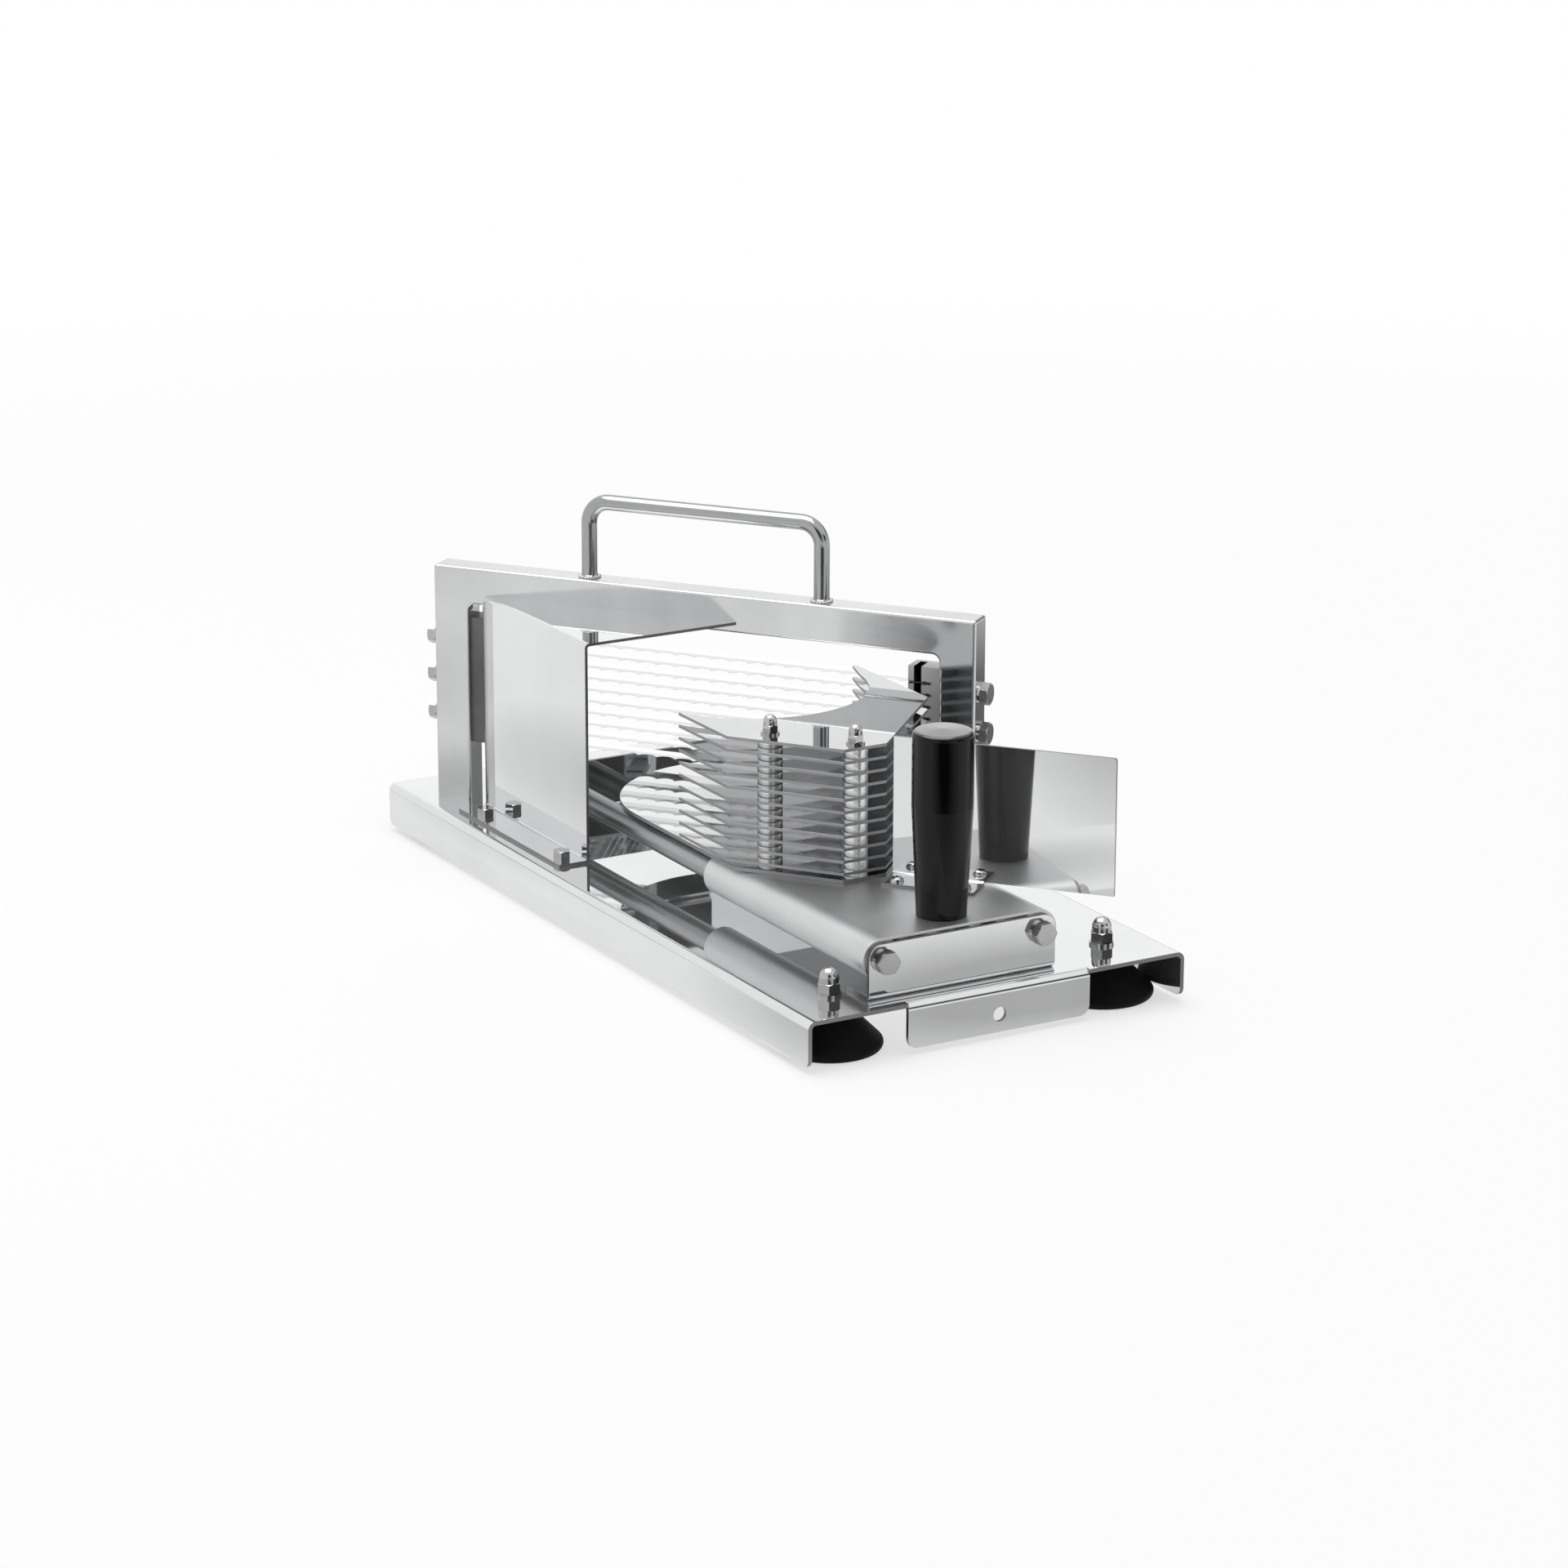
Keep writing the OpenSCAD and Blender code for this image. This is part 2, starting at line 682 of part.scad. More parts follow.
module hand_guard() {
    color(steel) difference() {
        in_hand_guard() {
            extrude_back(hand_t) difference() {
                polygon([[0, hand_fold], [hand_foot_l, hand_fold], [hand_foot_l, hand_t], [hand_l, hand_t],
                    [hand_l, hand_h], [0, hand_h]]);
                translate([hand_l - hand_corner, hand_h - hand_corner]) difference() {
                    square(hand_corner + eps);
                    circle(hand_corner);
                }
            }
            extrude_x(hand_foot_l) translate([hand_t, 0]) mirror([1, 0])
                angle_outline(2 * hand_fold, hand_foot, hand_t, hand_fold);
        }
        at_hand_screws() translate([0, 0, -eps])
            cylinder(d = hand_screw_d + 2 * bolt_clear, h = hand_t + 2 * eps);
    }
}

module hand_guard_screws() {
    head_r = hand_screw_head / 2;
    cross_w = 0.9;
    color(steel) at_hand_screws() difference() {
        union() {
            translate([0, 0, hand_t - hand_screw_l])
                cylinder(d = hand_screw_d, h = hand_screw_l + hand_screw_h / 2);
            translate([0, 0, hand_t]) rotate_extrude() polygon(concat([[0, 0]],
                arc([head_r - hand_screw_h, 0], hand_screw_h, 0, 90, screw_arc_step), [[0, hand_screw_h]]));
        }
        for (turn = [20, 110]) translate([0, 0, hand_t + hand_screw_h]) rotate([0, 0, turn])
            cube([head_r, cross_w, hand_screw_h], center = true);
    }
}

// Mitred frame of rectangular tube
module left_post() { color(steel) in_frame() post(); }
module right_post() { color(steel) in_frame(frame_l) mirror([1, 0, 0]) post(); }

module post() {
    difference() {
        extrude_back(tube_d) polygon([[0, 0], [tube_w, 0], [tube_w, frame_h - tube_w], [0, frame_h]]);
        translate([0, tube_t, 0]) extrude_back(tube_d - 2 * tube_t)
            polygon([[tube_t, -eps], [tube_w - tube_t, -eps],
                [tube_w - tube_t, frame_h - tube_w + tube_t], [tube_t, frame_h - tube_t]]);
        for (k = [0 : 2]) translate([-eps, tube_d / 2, tension_z + k * tension_pitch]) rotate([0, 90, 0])
            cylinder(d = tension_d + 2 * bolt_clear, h = tube_w + 2 * eps);
    }
}

module top_beam() {
    low = frame_h - tube_w;
    color(steel) in_frame() {
        difference() {
            extrude_back(tube_d)
                polygon([[0, frame_h], [tube_w, low], [frame_l - tube_w, low], [frame_l, frame_h]]);
            translate([0, tube_t, 0]) extrude_back(tube_d - 2 * tube_t)
                polygon([[tube_t, frame_h - tube_t], [tube_w - tube_t, low + tube_t],
                    [frame_l - tube_w + tube_t, low + tube_t], [frame_l - tube_t, frame_h - tube_t]]);
        }
        for (side = [0, 1]) translate([side * frame_l, 0, 0]) mirror([side, 0, 0]) extrude_back(tube_d)
            translate([tube_w, low - frame_fillet]) difference() {
                square(frame_fillet);
                translate([frame_fillet, 0]) circle(frame_fillet);
            }
    }
}

module carry_handle() {
    r = handle_d / 2;
    top = frame_h + handle_h - r;
    color(steel) in_frame(0, tube_d / 2, 0) {
        for (side = [0, 1]) translate([handle_s[side], 0, 0]) {
            translate([0, 0, frame_h]) cylinder(r = r, h = top - handle_bend - frame_h);
            translate([0, 0, frame_h]) cylinder(r1 = r + weld_w, r2 = r, h = weld_h);
            translate([(1 - 2 * side) * handle_bend, 0, top - handle_bend]) rotate([90, 0, 0])
                rotate([0, 0, 90 - 90 * side]) rotate_extrude(angle = 90)
                    translate([handle_bend, 0]) circle(r);
            translate([(1 - 2 * side) * handle_bend, 0, top]) rotate([0, 90 - 180 * side, 0])
                cylinder(r = r, h = handle_span / 2 - handle_bend + eps);
        }
    }
}

// Blade holder on the left, with its free end looking along +s
module blade_holder() {
    pin_x = holder_w - pin_in;
    groove = pin_d + 2 * pin_room;
    translate([tube_w, holder_front, holder_z0 - base_top]) difference() {
        cube([holder_w, holder_d, holder_h]);
        for (i = [0 : blade_count - 1])
            translate([holder_w - slot_l, -eps, blade_z(i) - holder_z0 - slot_clear / 2])
                cube([slot_l + eps, holder_d + 2 * eps, blade_t + slot_clear]);
        translate([pin_x - groove / 2, -eps, -eps])
            cube([groove, pin_depth - holder_front + groove / 2 + eps, holder_h + 2 * eps]);
        for (k = [0 : 2])
            translate([-eps, tube_d / 2 - holder_front, base_top + tension_z - holder_z0 + k * tension_pitch])
                rotate([0, 90, 0]) cylinder(d = tension_d, h = tension_thread + eps);
    }
}

module left_blade_holder() { color(dark_steel) in_frame() blade_holder(); }
module right_blade_holder() { color(dark_steel) in_frame(frame_l) mirror([1, 0, 0]) blade_holder(); }

// Blade with a row of ground scallops along its front edge
module blade(i) {
    half = (scallop - cusp) / 2;
    wheel = (half * half + scallop_h * scallop_h) / (2 * scallop_h);
    free = blade_l - 2 * slot_l;
    count = floor(free / scallop);
    first = (blade_l - (count - 1) * scallop) / 2;
    color(steel) in_frame(blade_s0, blade_front, blade_z(i) - base_top)
        linear_extrude(blade_t) difference() {
            square([blade_l, blade_w]);
            for (k = [0 : count - 1]) translate([first + k * scallop, scallop_h - wheel]) circle(wheel);
            for (s = pin_s) translate([s - blade_s0, pin_depth - blade_front]) circle(d = pin_d + pin_room);
        }
}

module blade_pins() {
    z0 = blade_z(0) - pin_under - base_top;
    l = blade_z(blade_count - 1) + pin_over - base_top - z0;
    color(steel) for (s = pin_s) in_frame(s, pin_depth, z0) cylinder(d = pin_d, h = l);
}

// Places on the end faces of the frame, looking outwards along +Z
module at_tension_bolts() {
    for (k = [0 : 2]) {
        in_frame(0, tube_d / 2, tension_z + k * tension_pitch) rotate([0, -90, 0]) children();
        in_frame(frame_l, tube_d / 2, tension_z + k * tension_pitch) rotate([0, 90, 0]) children();
    }
}

module tension_washers() {
    color(steel) at_tension_bolts() ring(tension_d + 2 * bolt_clear, m6_washer_d, m6_washer);
}

module tension_bolts() {
    color(satin) at_tension_bolts() translate([0, 0, m6_washer])
        hex_bolt(tension_d, m6_af, m6_head, m6_washer + tube_w + tension_thread);
}

// Folded guard with a foot outwards and a three-cornered lid against the frame
module side_guard() {
    overlap = side_h / 2;
    lid = base_w;
    color(steel) difference() {
        union() {
            translate([0, side_y0, base_top]) extrude_back(side_l + tube_d) {
                translate([side_x + side_t, 0]) mirror([1, 0])
                    angle_outline(overlap, side_foot + side_t, side_t, side_fold);
                translate([side_x, side_h]) mirror([0, 1])
                    angle_outline(overlap, 2 * side_fold, side_t, side_fold);
            }
            translate([side_x + side_fold, side_y0, base_top + side_h - side_t]) cube([lid, lid, side_t]);
        }
        in_frame(-base_l, 0, -eps) cube([2 * base_l, base_l, 2 * frame_h]);
        translate([side_x - base_w, side_y1, base_top - eps]) cube([base_w, base_l, side_h]);
        for (p = side_bolts)
            translate([p.x, p.y, base_top - eps]) cylinder(d = m5 + 2 * bolt_clear, h = side_t + 2 * eps);
    }
}

module side_guard_bolts() {
    color(steel) for (p = side_bolts) translate([p.x, p.y, base_top + side_t])
        hex_bolt(m5, m5_af, m5_head, side_t + base_t + side_nut_h + thread_end);
}

module side_guard_nuts() {
    color(steel) for (p = side_bolts) translate([p.x, p.y, base_under]) mirror([0, 0, 1]) difference() {
        hexagon(m5_af, side_nut_h);
        translate([0, 0, -eps]) cylinder(d = m5, h = side_nut_h + 2 * eps);
    }
}

base_plate();
for (i = [0 : len(foot_names) - 1]) foot(foot_places[i]);
foot_studs();
foot_cap_nuts();
foot_washers();
front_bracket();
rear_bracket();
guide_rod(rod_places[0]);  // left_rod
guide_rod(rod_places[1]);  // right_rod
rod_bolts();
rod_washers();
carriage();
carriage_bushes();
grip();
grip_stud();
grip_nut();
bed_plate();
for (i = [0 : plate_count - 1]) pusher_plate(i);
stack_studs();
stack_spacers();
stack_cap_nuts();
stack_washers();
hand_guard();
hand_guard_screws();
side_guard();
side_guard_bolts();
side_guard_nuts();
left_post();
right_post();
top_beam();
carry_handle();
left_blade_holder();
right_blade_holder();
for (i = [0 : blade_count - 1]) blade(i);
blade_pins();
tension_bolts();
tension_washers();
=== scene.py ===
# %% [markdown]
# A tomato slicer in mirror-polished steel. A carriage with a stack of thin plates slides on two rods and
# pushes the tomato through a slanted frame of scalloped blades. The solids already have their true shape
# and place, so this lesson dresses them: soft edges on cut sheet, ground blades, turned spacers, weld
# beads, and a finish for every surface.

# %% Load the solids
import json
import math
import bmesh
import bpy
from mathutils import Matrix, Vector


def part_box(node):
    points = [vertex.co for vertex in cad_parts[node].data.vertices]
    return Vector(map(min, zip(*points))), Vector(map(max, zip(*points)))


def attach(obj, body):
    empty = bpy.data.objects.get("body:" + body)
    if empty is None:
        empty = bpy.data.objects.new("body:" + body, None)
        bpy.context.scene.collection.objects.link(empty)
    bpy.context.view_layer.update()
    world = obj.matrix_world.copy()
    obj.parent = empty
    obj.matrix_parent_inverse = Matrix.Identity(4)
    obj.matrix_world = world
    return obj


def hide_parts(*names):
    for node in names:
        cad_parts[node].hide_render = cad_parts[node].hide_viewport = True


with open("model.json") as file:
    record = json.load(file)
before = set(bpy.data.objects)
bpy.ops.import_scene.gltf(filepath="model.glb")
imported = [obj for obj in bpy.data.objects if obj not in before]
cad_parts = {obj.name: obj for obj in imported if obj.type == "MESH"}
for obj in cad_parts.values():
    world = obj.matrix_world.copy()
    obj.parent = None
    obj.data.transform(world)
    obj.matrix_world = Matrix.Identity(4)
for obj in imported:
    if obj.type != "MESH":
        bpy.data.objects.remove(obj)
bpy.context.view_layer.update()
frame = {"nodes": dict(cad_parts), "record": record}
scene = bpy.context.scene
scene.view_settings.view_transform = "Standard"
MM = 0.001

# %% [markdown]
# A photographer's standpoint fixes how every edge lines up. It could be found by turning the view by eye,
# but corners of known size give it exactly: a long lens, seen from the front left and a little above.

# %% Standpoint
AZIMUTH = math.radians(-30.07)
ELEVATION = math.radians(16.68)
AIM_HEIGHT = 0.0654
AIM_RIGHT = 0.0088

level = math.cos(ELEVATION)
back = Vector((math.sin(AZIMUTH) * level, -math.cos(AZIMUTH) * level, math.sin(ELEVATION)))
right = Vector((math.cos(AZIMUTH), math.sin(AZIMUTH), 0))
up = back.cross(right)
aim = Vector((0, 0, AIM_HEIGHT)) + right * AIM_RIGHT
print("the camera looks at", [round(v, 3) for v in aim])

# %% [markdown]
# The camera could be turned by three angles. A matrix of its own right, up and back directions is clearer,
# and takes in the small roll with which the picture was shot.

# %% Camera
LENS_MM = 114.92
SENSOR_MM = 36
ROLL = math.radians(0.12)
DISTANCE = 2.4505
CAMERA_REACH = 100

turned_right = right * math.cos(ROLL) + up * math.sin(ROLL)
turned_up = up * math.cos(ROLL) - right * math.sin(ROLL)
facing = Matrix((turned_right, turned_up, back)).transposed().to_4x4()
camera_data = bpy.data.cameras.new("camera")
camera_data.lens = LENS_MM
camera_data.sensor_width = SENSOR_MM
camera_data.clip_end = CAMERA_REACH
camera = bpy.data.objects.new("camera", camera_data)
camera.matrix_world = Matrix.Translation(aim + back * DISTANCE) @ facing
scene.collection.objects.link(camera)
scene.camera = camera
print("camera at", [round(v, 3) for v in camera.location])

# %% [markdown]
# Every finish is a tree of nodes, and so is the world. For one finish the wires could be drawn in the
# editor; for twenty, a few helpers save a lot of lines and let each recipe read from top to bottom.

# %% Helpers for nodes


def step(tree, kind, inputs=(), **settings):
    """A node with its settings, each input fed by a socket or set to a value."""
    made = tree.nodes.new(kind)
    for key, value in settings.items():
        setattr(made, key, value)
    for key, value in dict(inputs).items():
        if isinstance(value, bpy.types.NodeSocket):
            tree.links.new(value, made.inputs[key])
        else:
            made.inputs[key].default_value = value
    return made


def out_of(tree, kind, inputs=(), **settings):
    """What a new node gives by its first output."""
    return step(tree, kind, inputs, **settings).outputs[0]


def reckon(tree, operation, a, b=0.0, c=0.0):
    """One piece of arithmetic on sockets or numbers."""
    return out_of(tree, "ShaderNodeMath", {0: a, 1: b, 2: c}, operation=operation)


def ramp(tree, value, start, end, first=0, last=1):
    """A value that goes from first to last while another goes from start to end, and stays there."""
    limits = {"From Min": start, "From Max": end, "To Min": first, "To Max": last}
    return out_of(tree, "ShaderNodeMapRange", {"Value": value, **limits})


print("node helpers ready")

# %% [markdown]
# Polished steel has hardly any colour of its own: it shows the room, so the room comes first. The world is
# white to the eye and in reflections. For light on matte surfaces it is dimmer, because the lamps give the
# shape. One white world for both would be simpler, but it would wash the shapes out.

# %% White world
WHITE = (1, 1, 1, 1)
WORLD_FILL = 0.55


def white_to_the_eye(tree):
    """A factor of 1 for rays that show a background: straight from the eye, or by way of metal or glass."""
    path = step(tree, "ShaderNodeLightPath").outputs
    seen = reckon(tree, "MAXIMUM", path["Is Camera Ray"], path["Is Glossy Ray"])
    return reckon(tree, "MAXIMUM", seen, path["Is Transmission Ray"])


world = bpy.data.worlds.new("studio")
world.use_nodes = True
scene.world = world
sky = world.node_tree
sky.nodes.clear()
fill = out_of(sky, "ShaderNodeBackground", {"Color": WHITE, "Strength": WORLD_FILL})
shown = out_of(sky, "ShaderNodeBackground", {"Color": WHITE, "Strength": 1.0})
chosen = out_of(sky, "ShaderNodeMixShader", {0: white_to_the_eye(sky), 1: fill, 2: shown})
step(sky, "ShaderNodeOutputWorld", {0: chosen})
print("world:", world.name, "with", len(sky.nodes), "nodes")

# %% [markdown]
# A studio is mostly sheets: the paper that the slicer stands on, and the cards round it. A sheet could be a
# plane that Blender adds; four points of its own size need no scaling.

# %% Sheets of the studio
FLOOR_SIZE = 40


def flat_card(name, width, height):
    """A square-cornered sheet in the XY plane."""
    mesh = bpy.data.meshes.new(name)
    w, h = width / 2, height / 2
    mesh.from_pydata([(-w, -h, 0), (w, -h, 0), (w, h, 0), (-w, h, 0)], [], [(0, 1, 2, 3)])
    card = bpy.data.objects.new(name, mesh)
    scene.collection.objects.link(card)
    return card


def fresh(name):
    """A new material, its tree and its main shader."""
    made = bpy.data.materials.new(name)
    made.use_nodes = True
    return made, made.node_tree, made.node_tree.nodes["Principled BSDF"]


floor = flat_card("floor", FLOOR_SIZE, FLOOR_SIZE)
print("floor:", FLOOR_SIZE, "m wide")

# %% [markdown]
# The slicer stands on pale paper. A plain white floor would look grey further off, and a glowing one would
# lose the shadow. So the floor is matte near the slicer, and fades to white with the distance.

# %% Pale floor
FLOOR_COLOUR = (0.93, 0.93, 0.93, 1)
FLOOR_ROUGH = 0.9
FLOOR_LIFT = (0.6, 1.0)
LIFT_REACH = (0.5, 1.6)


def pale_floor(name):
    """A matte floor that keeps its shadow near the slicer and fades to white further off."""
    made, tree, matte = fresh(name)
    matte.inputs["Base Color"].default_value = FLOOR_COLOUR
    matte.inputs["Roughness"].default_value = FLOOR_ROUGH
    matte.inputs["Specular IOR Level"].default_value = 0
    glow = out_of(tree, "ShaderNodeEmission", {"Color": WHITE, "Strength": 1.0})
    where = step(tree, "ShaderNodeTexCoord").outputs["Object"]
    far = step(tree, "ShaderNodeVectorMath", {0: where}, operation="LENGTH").outputs["Value"]
    share = reckon(tree, "MULTIPLY", white_to_the_eye(tree), ramp(tree, far, *LIFT_REACH, *FLOOR_LIFT))
    blend = out_of(tree, "ShaderNodeMixShader", {0: share, 1: matte.outputs[0], 2: glow})
    tree.links.new(blend, tree.nodes["Material Output"].inputs[0])
    return made


floor.data.materials.append(pale_floor("pale floor"))
print("floor finish:", floor.data.materials[0].name)

# %% [markdown]
# Two broad soft lamps light the slicer, as softboxes do in a studio: a large one overhead, and a faint one
# behind for the upper edges. Small lamps would put hard white spots on every bolt.

# %% Lamps
LAMP_AIM = Vector((0, 0, 0.05))


def soft_lamp(name, place, size, watts):
    """A rectangular lamp that looks at the slicer."""
    lamp_data = bpy.data.lights.new(name, "AREA")
    lamp_data.shape = "RECTANGLE"
    lamp_data.size, lamp_data.size_y = size
    lamp_data.energy = watts
    lamp = bpy.data.objects.new(name, lamp_data)
    lamp.location = place
    lamp.rotation_euler = (LAMP_AIM - Vector(place)).to_track_quat("-Z", "Y").to_euler()
    scene.collection.objects.link(lamp)


soft_lamp("overhead lamp", (-0.3, 0.2, 2.4), (2.4, 2.4), 38)
soft_lamp("lamp behind", (1.54, 2.65, 1.15), (3.6, 1.5), 2)

# %% [markdown]
# In a white room, polished steel would look like paper. A studio's flags put calm dark bands on it. They
# could be dark panels in the room, but those would throw shadows. These cards are seen by reflections
# alone, and each fades to white towards its rim, so that no band ends in a hard line.

# %% A card for reflections
CARD_DARK_TO = 0.7


def tones(tree, value, first, last):
    """A run between two colours, each given with its place on the run."""
    made = step(tree, "ShaderNodeValToRGB", {"Fac": value})
    for stop, (place, colour) in zip(made.color_ramp.elements, (first, last)):
        stop.position = place
        stop.color = colour
    return made.outputs["Color"]


def grey_card(name, place, look_at, size, shade):
    """A card that only reflections see, darkest in its middle."""
    card = flat_card(name, *size)
    turn = (Vector(look_at) - Vector(place)).to_track_quat("Z", "Y").to_matrix().to_4x4()
    card.matrix_world = Matrix.Translation(place) @ turn
    made, tree, _ = fresh(name)
    tree.nodes.clear()
    where = step(tree, "ShaderNodeTexCoord").outputs["Object"]
    spread = out_of(tree, "ShaderNodeMapping", {"Vector": where, "Scale": (2 / size[0], 2 / size[1], 1)})
    middle = out_of(tree, "ShaderNodeTexGradient", {"Vector": spread}, gradient_type="SPHERICAL")
    tone = tones(tree, middle, (0, WHITE), (CARD_DARK_TO, (shade, shade, shade, 1)))
    glow = out_of(tree, "ShaderNodeEmission", {"Color": tone, "Strength": 1.0})
    step(tree, "ShaderNodeOutputMaterial", {0: glow})
    card.data.materials.append(made)
    card.visible_camera = False
    card.visible_diffuse = False
    card.visible_shadow = False
    return card


print("cards are white at the rim and darkest in the middle")

# %% [markdown]
# Each card is placed for one surface: upright cards stand where the upright faces look, and lying cards are
# what the low sides of the sheet metal mirror. The last number is the card's shade, from 0 for black to 1
# for white.

# %% Cards round the slicer
BEHIND_CAMERA = 3.2
cards = [
    grey_card("dark card behind the camera", aim + back * BEHIND_CAMERA, aim, (5.0, 3.6), 0.06),
    grey_card("grey card on the left", (-2.3, -0.62, 0.75), (0, 0, 0.1), (3.0, 1.7), 0.90),
    grey_card("dark card on the right", (2.3, 0.62, 0.75), (0, 0, 0.1), (3.0, 1.7), 0.25),
]


def lying_card(name, x, y, z, size, shade):
    """A card that lies just above the floor and looks up."""
    cards.append(grey_card(name, (x, y, z), (x, y, 1), size, shade))


lying_card("dark card on the floor", -0.25, -0.60, 0.002, (0.96, 0.62), 0.02)
lying_card("grey card on the floor", 0.05, -0.255, 0.003, (0.44, 0.17), 0.50)
lying_card("dark card on the right floor", 0.38, 0.02, 0.002, (0.9, 0.7), 0.16)
lying_card("grey card beside the guard", -0.20, 0.16, 0.002, (0.17, 0.50), 0.66)
lying_card("grey card beside the flange", -0.14, -0.20, 0.004, (0.10, 0.30), 0.62)
cards.append(grey_card("dark card in front on the right", (0.97, -1.65, 0.64), (0, 0, 0.08), (1.7, 1.1), 0.03))
print("cards:", len(cards))

# %% [markdown]
# Between the facing plates a reflection runs to and fro many times. Blender gives up after four mirror
# bounces and shows black there. Real plates go on until the light gets out, so the limit is raised.

# %% Mirror bounces
MIRROR_BOUNCES = 16
ALL_BOUNCES = 20
scene.cycles.max_bounces = ALL_BOUNCES
scene.cycles.glossy_bounces = MIRROR_BOUNCES
print("mirror bounces:", scene.cycles.glossy_bounces)

# %% [markdown]
# A finish needs three things: a colour, a roughness and a fine relief. The relief of polished or moulded
# stuff is far below a tenth of a millimetre. It could be cut into the mesh, but a bump in the shader costs
# no faces.

# %% Noise and relief
RELIEF = 0.2 * MM


def noise(tree, where, scale, detail, rough):
    """The grey value of a noise texture."""
    settings = {"Vector": where, "Scale": scale, "Detail": detail, "Roughness": rough}
    return step(tree, "ShaderNodeTexNoise", settings).outputs["Fac"]


def dress(tree, surface, tone, rough, height, bump):
    """Feeds colour, roughness and a fine relief to a shader."""
    relief = step(tree, "ShaderNodeBump", {"Strength": bump, "Distance": RELIEF, "Height": height})
    tree.links.new(tone, surface.inputs["Base Color"])
    tree.links.new(rough, surface.inputs["Roughness"])
    tree.links.new(relief.outputs["Normal"], surface.inputs["Normal"])


print("a bump of full strength would be", RELIEF / MM, "mm high")

# %% [markdown]
# One recipe makes every steel here. A stretched noise gives the fine lines that a polishing wheel or a
# grinding belt leaves, a broad noise gives the faint cloudiness of handled metal, and both steer the
# roughness and a very small bump. Image maps could do it too, but noise on the object's own coordinates
# never shows a seam.

# %% Steel recipe
CLOUD = 18
CLOUD_TONES = (0.3, 0.65)
POLISH_SPAN = (0.12, 0.4)
LINE_DETAIL = (3.0, 0.6)
CLOUD_DETAIL = (4.0, 0.55)


def steel(name, colour, rough, lines, bump, darker, metal=1.0):
    """A metal whose polishing lines are noise stretched by the three scales in lines."""
    made, tree, surface = fresh(name)
    surface.inputs["Metallic"].default_value = metal
    where = step(tree, "ShaderNodeTexCoord").outputs["Object"]
    stretched = out_of(tree, "ShaderNodeMapping", {"Vector": where, "Scale": lines})
    grain = noise(tree, stretched, 1.0, *LINE_DETAIL)
    haze = noise(tree, where, CLOUD, *CLOUD_DETAIL)
    clouded = (*[c * darker for c in colour], 1)
    tone = tones(tree, haze, (CLOUD_TONES[0], clouded), (CLOUD_TONES[1], (*colour, 1)))
    polish = ramp(tree, reckon(tree, "MULTIPLY", grain, haze), *POLISH_SPAN, *rough)
    dress(tree, surface, tone, polish, grain, bump)
    return made


print("steel recipe ready")

# %% [markdown]
# The sheet is polished to a mirror, the tube on a belt, and the carriage is blasted with glass beads until
# it is satin. The rods are ground and the handle is drawn. A cut edge keeps the grey of the shear, and that
# thin grey line is what makes a mirror plate readable. Each steel has a colour, its span of roughness and
# its lines.

# %% Steels of sheet, tube and rod
mirror_steel = steel("mirror polished sheet", (0.76, 0.765, 0.77), (0.012, 0.045), (60, 900, 60),
                     bump=0.0015, darker=0.94, metal=0.94)
plate_steel = steel("polished plate", (0.62, 0.625, 0.63), (0.015, 0.05), (60, 900, 60),
                    bump=0.0015, darker=0.93, metal=0.96)
blast_steel = steel("bead blasted sheet", (0.66, 0.665, 0.67), (0.34, 0.46), (2600, 2600, 2600),
                    bump=0.22, darker=0.9)
edge_steel = steel("cut edge", (0.27, 0.27, 0.275), (0.30, 0.48), (1800, 1800, 500), bump=0.12, darker=0.8)
shear_steel = steel("sheared plate edge", (0.31, 0.31, 0.315), (0.30, 0.44), (1800, 1800, 500),
                    bump=0.1, darker=0.85)
tube_steel = steel("belt polished tube", (0.65, 0.655, 0.66), (0.08, 0.16), (260, 260, 1500),
                   bump=0.03, darker=0.85)
rod_steel = steel("ground rod", (0.40, 0.405, 0.41), (0.28, 0.38), (2400, 60, 2400), bump=0.01, darker=0.88)
handle_steel = steel("drawn rod", (0.39, 0.395, 0.40), (0.09, 0.18), (700, 700, 120), bump=0.04, darker=0.85)
print("steels of sheet, tube and rod:", [m.name for m in (mirror_steel, plate_steel, blast_steel, edge_steel,
                                                          shear_steel, tube_steel, rod_steel, handle_steel)])

# %% [markdown]
# Small pieces come from other hands: bought nuts are bright, bolts are dull, the holders are milled blocks,
# the blades are ground and the spacers turned. One steel for all of them would be quicker, but then the
# whole slicer would look cast in one piece.

# %% Steels of the small pieces
block_steel = steel("milled block", (0.70, 0.70, 0.70), (0.38, 0.55), (900, 900, 300),
                    bump=0.15, darker=0.75, metal=0.7)
# The left holder's steel is the milled block made much darker: painted shade for the holder in the dark gap
# beside the side guard
painted_shade_block = steel("milled block painted dark as shade", (0.16, 0.16, 0.16), (0.34, 0.5), (900, 900, 300),
                    bump=0.15, darker=0.6, metal=0.9)
nut_steel = steel("bright nut", (0.50, 0.50, 0.505), (0.05, 0.14), (900, 900, 900), bump=0.02, darker=0.9)
bolt_steel = steel("dull bolt", (0.50, 0.50, 0.505), (0.20, 0.32), (1400, 1400, 1400), bump=0.08, darker=0.8)
blade_steel = steel("ground blade", (0.90, 0.905, 0.91), (0.06, 0.16), (300, 300, 2000), bump=0.02, darker=0.94)
bevel_steel = steel("ground bevel", (0.74, 0.745, 0.75), (0.10, 0.20), (1200, 1200, 300), bump=0.04, darker=0.9)
weld_steel = steel("brushed weld", (0.56, 0.56, 0.56), (0.2, 0.4), (1500, 1500, 1500), bump=0.15, darker=0.75)
spacer_steel = steel("turned spacer", (0.92, 0.925, 0.93), (0.22, 0.36), (300, 300, 4000),
                     bump=0.06, darker=0.92, metal=0.75)
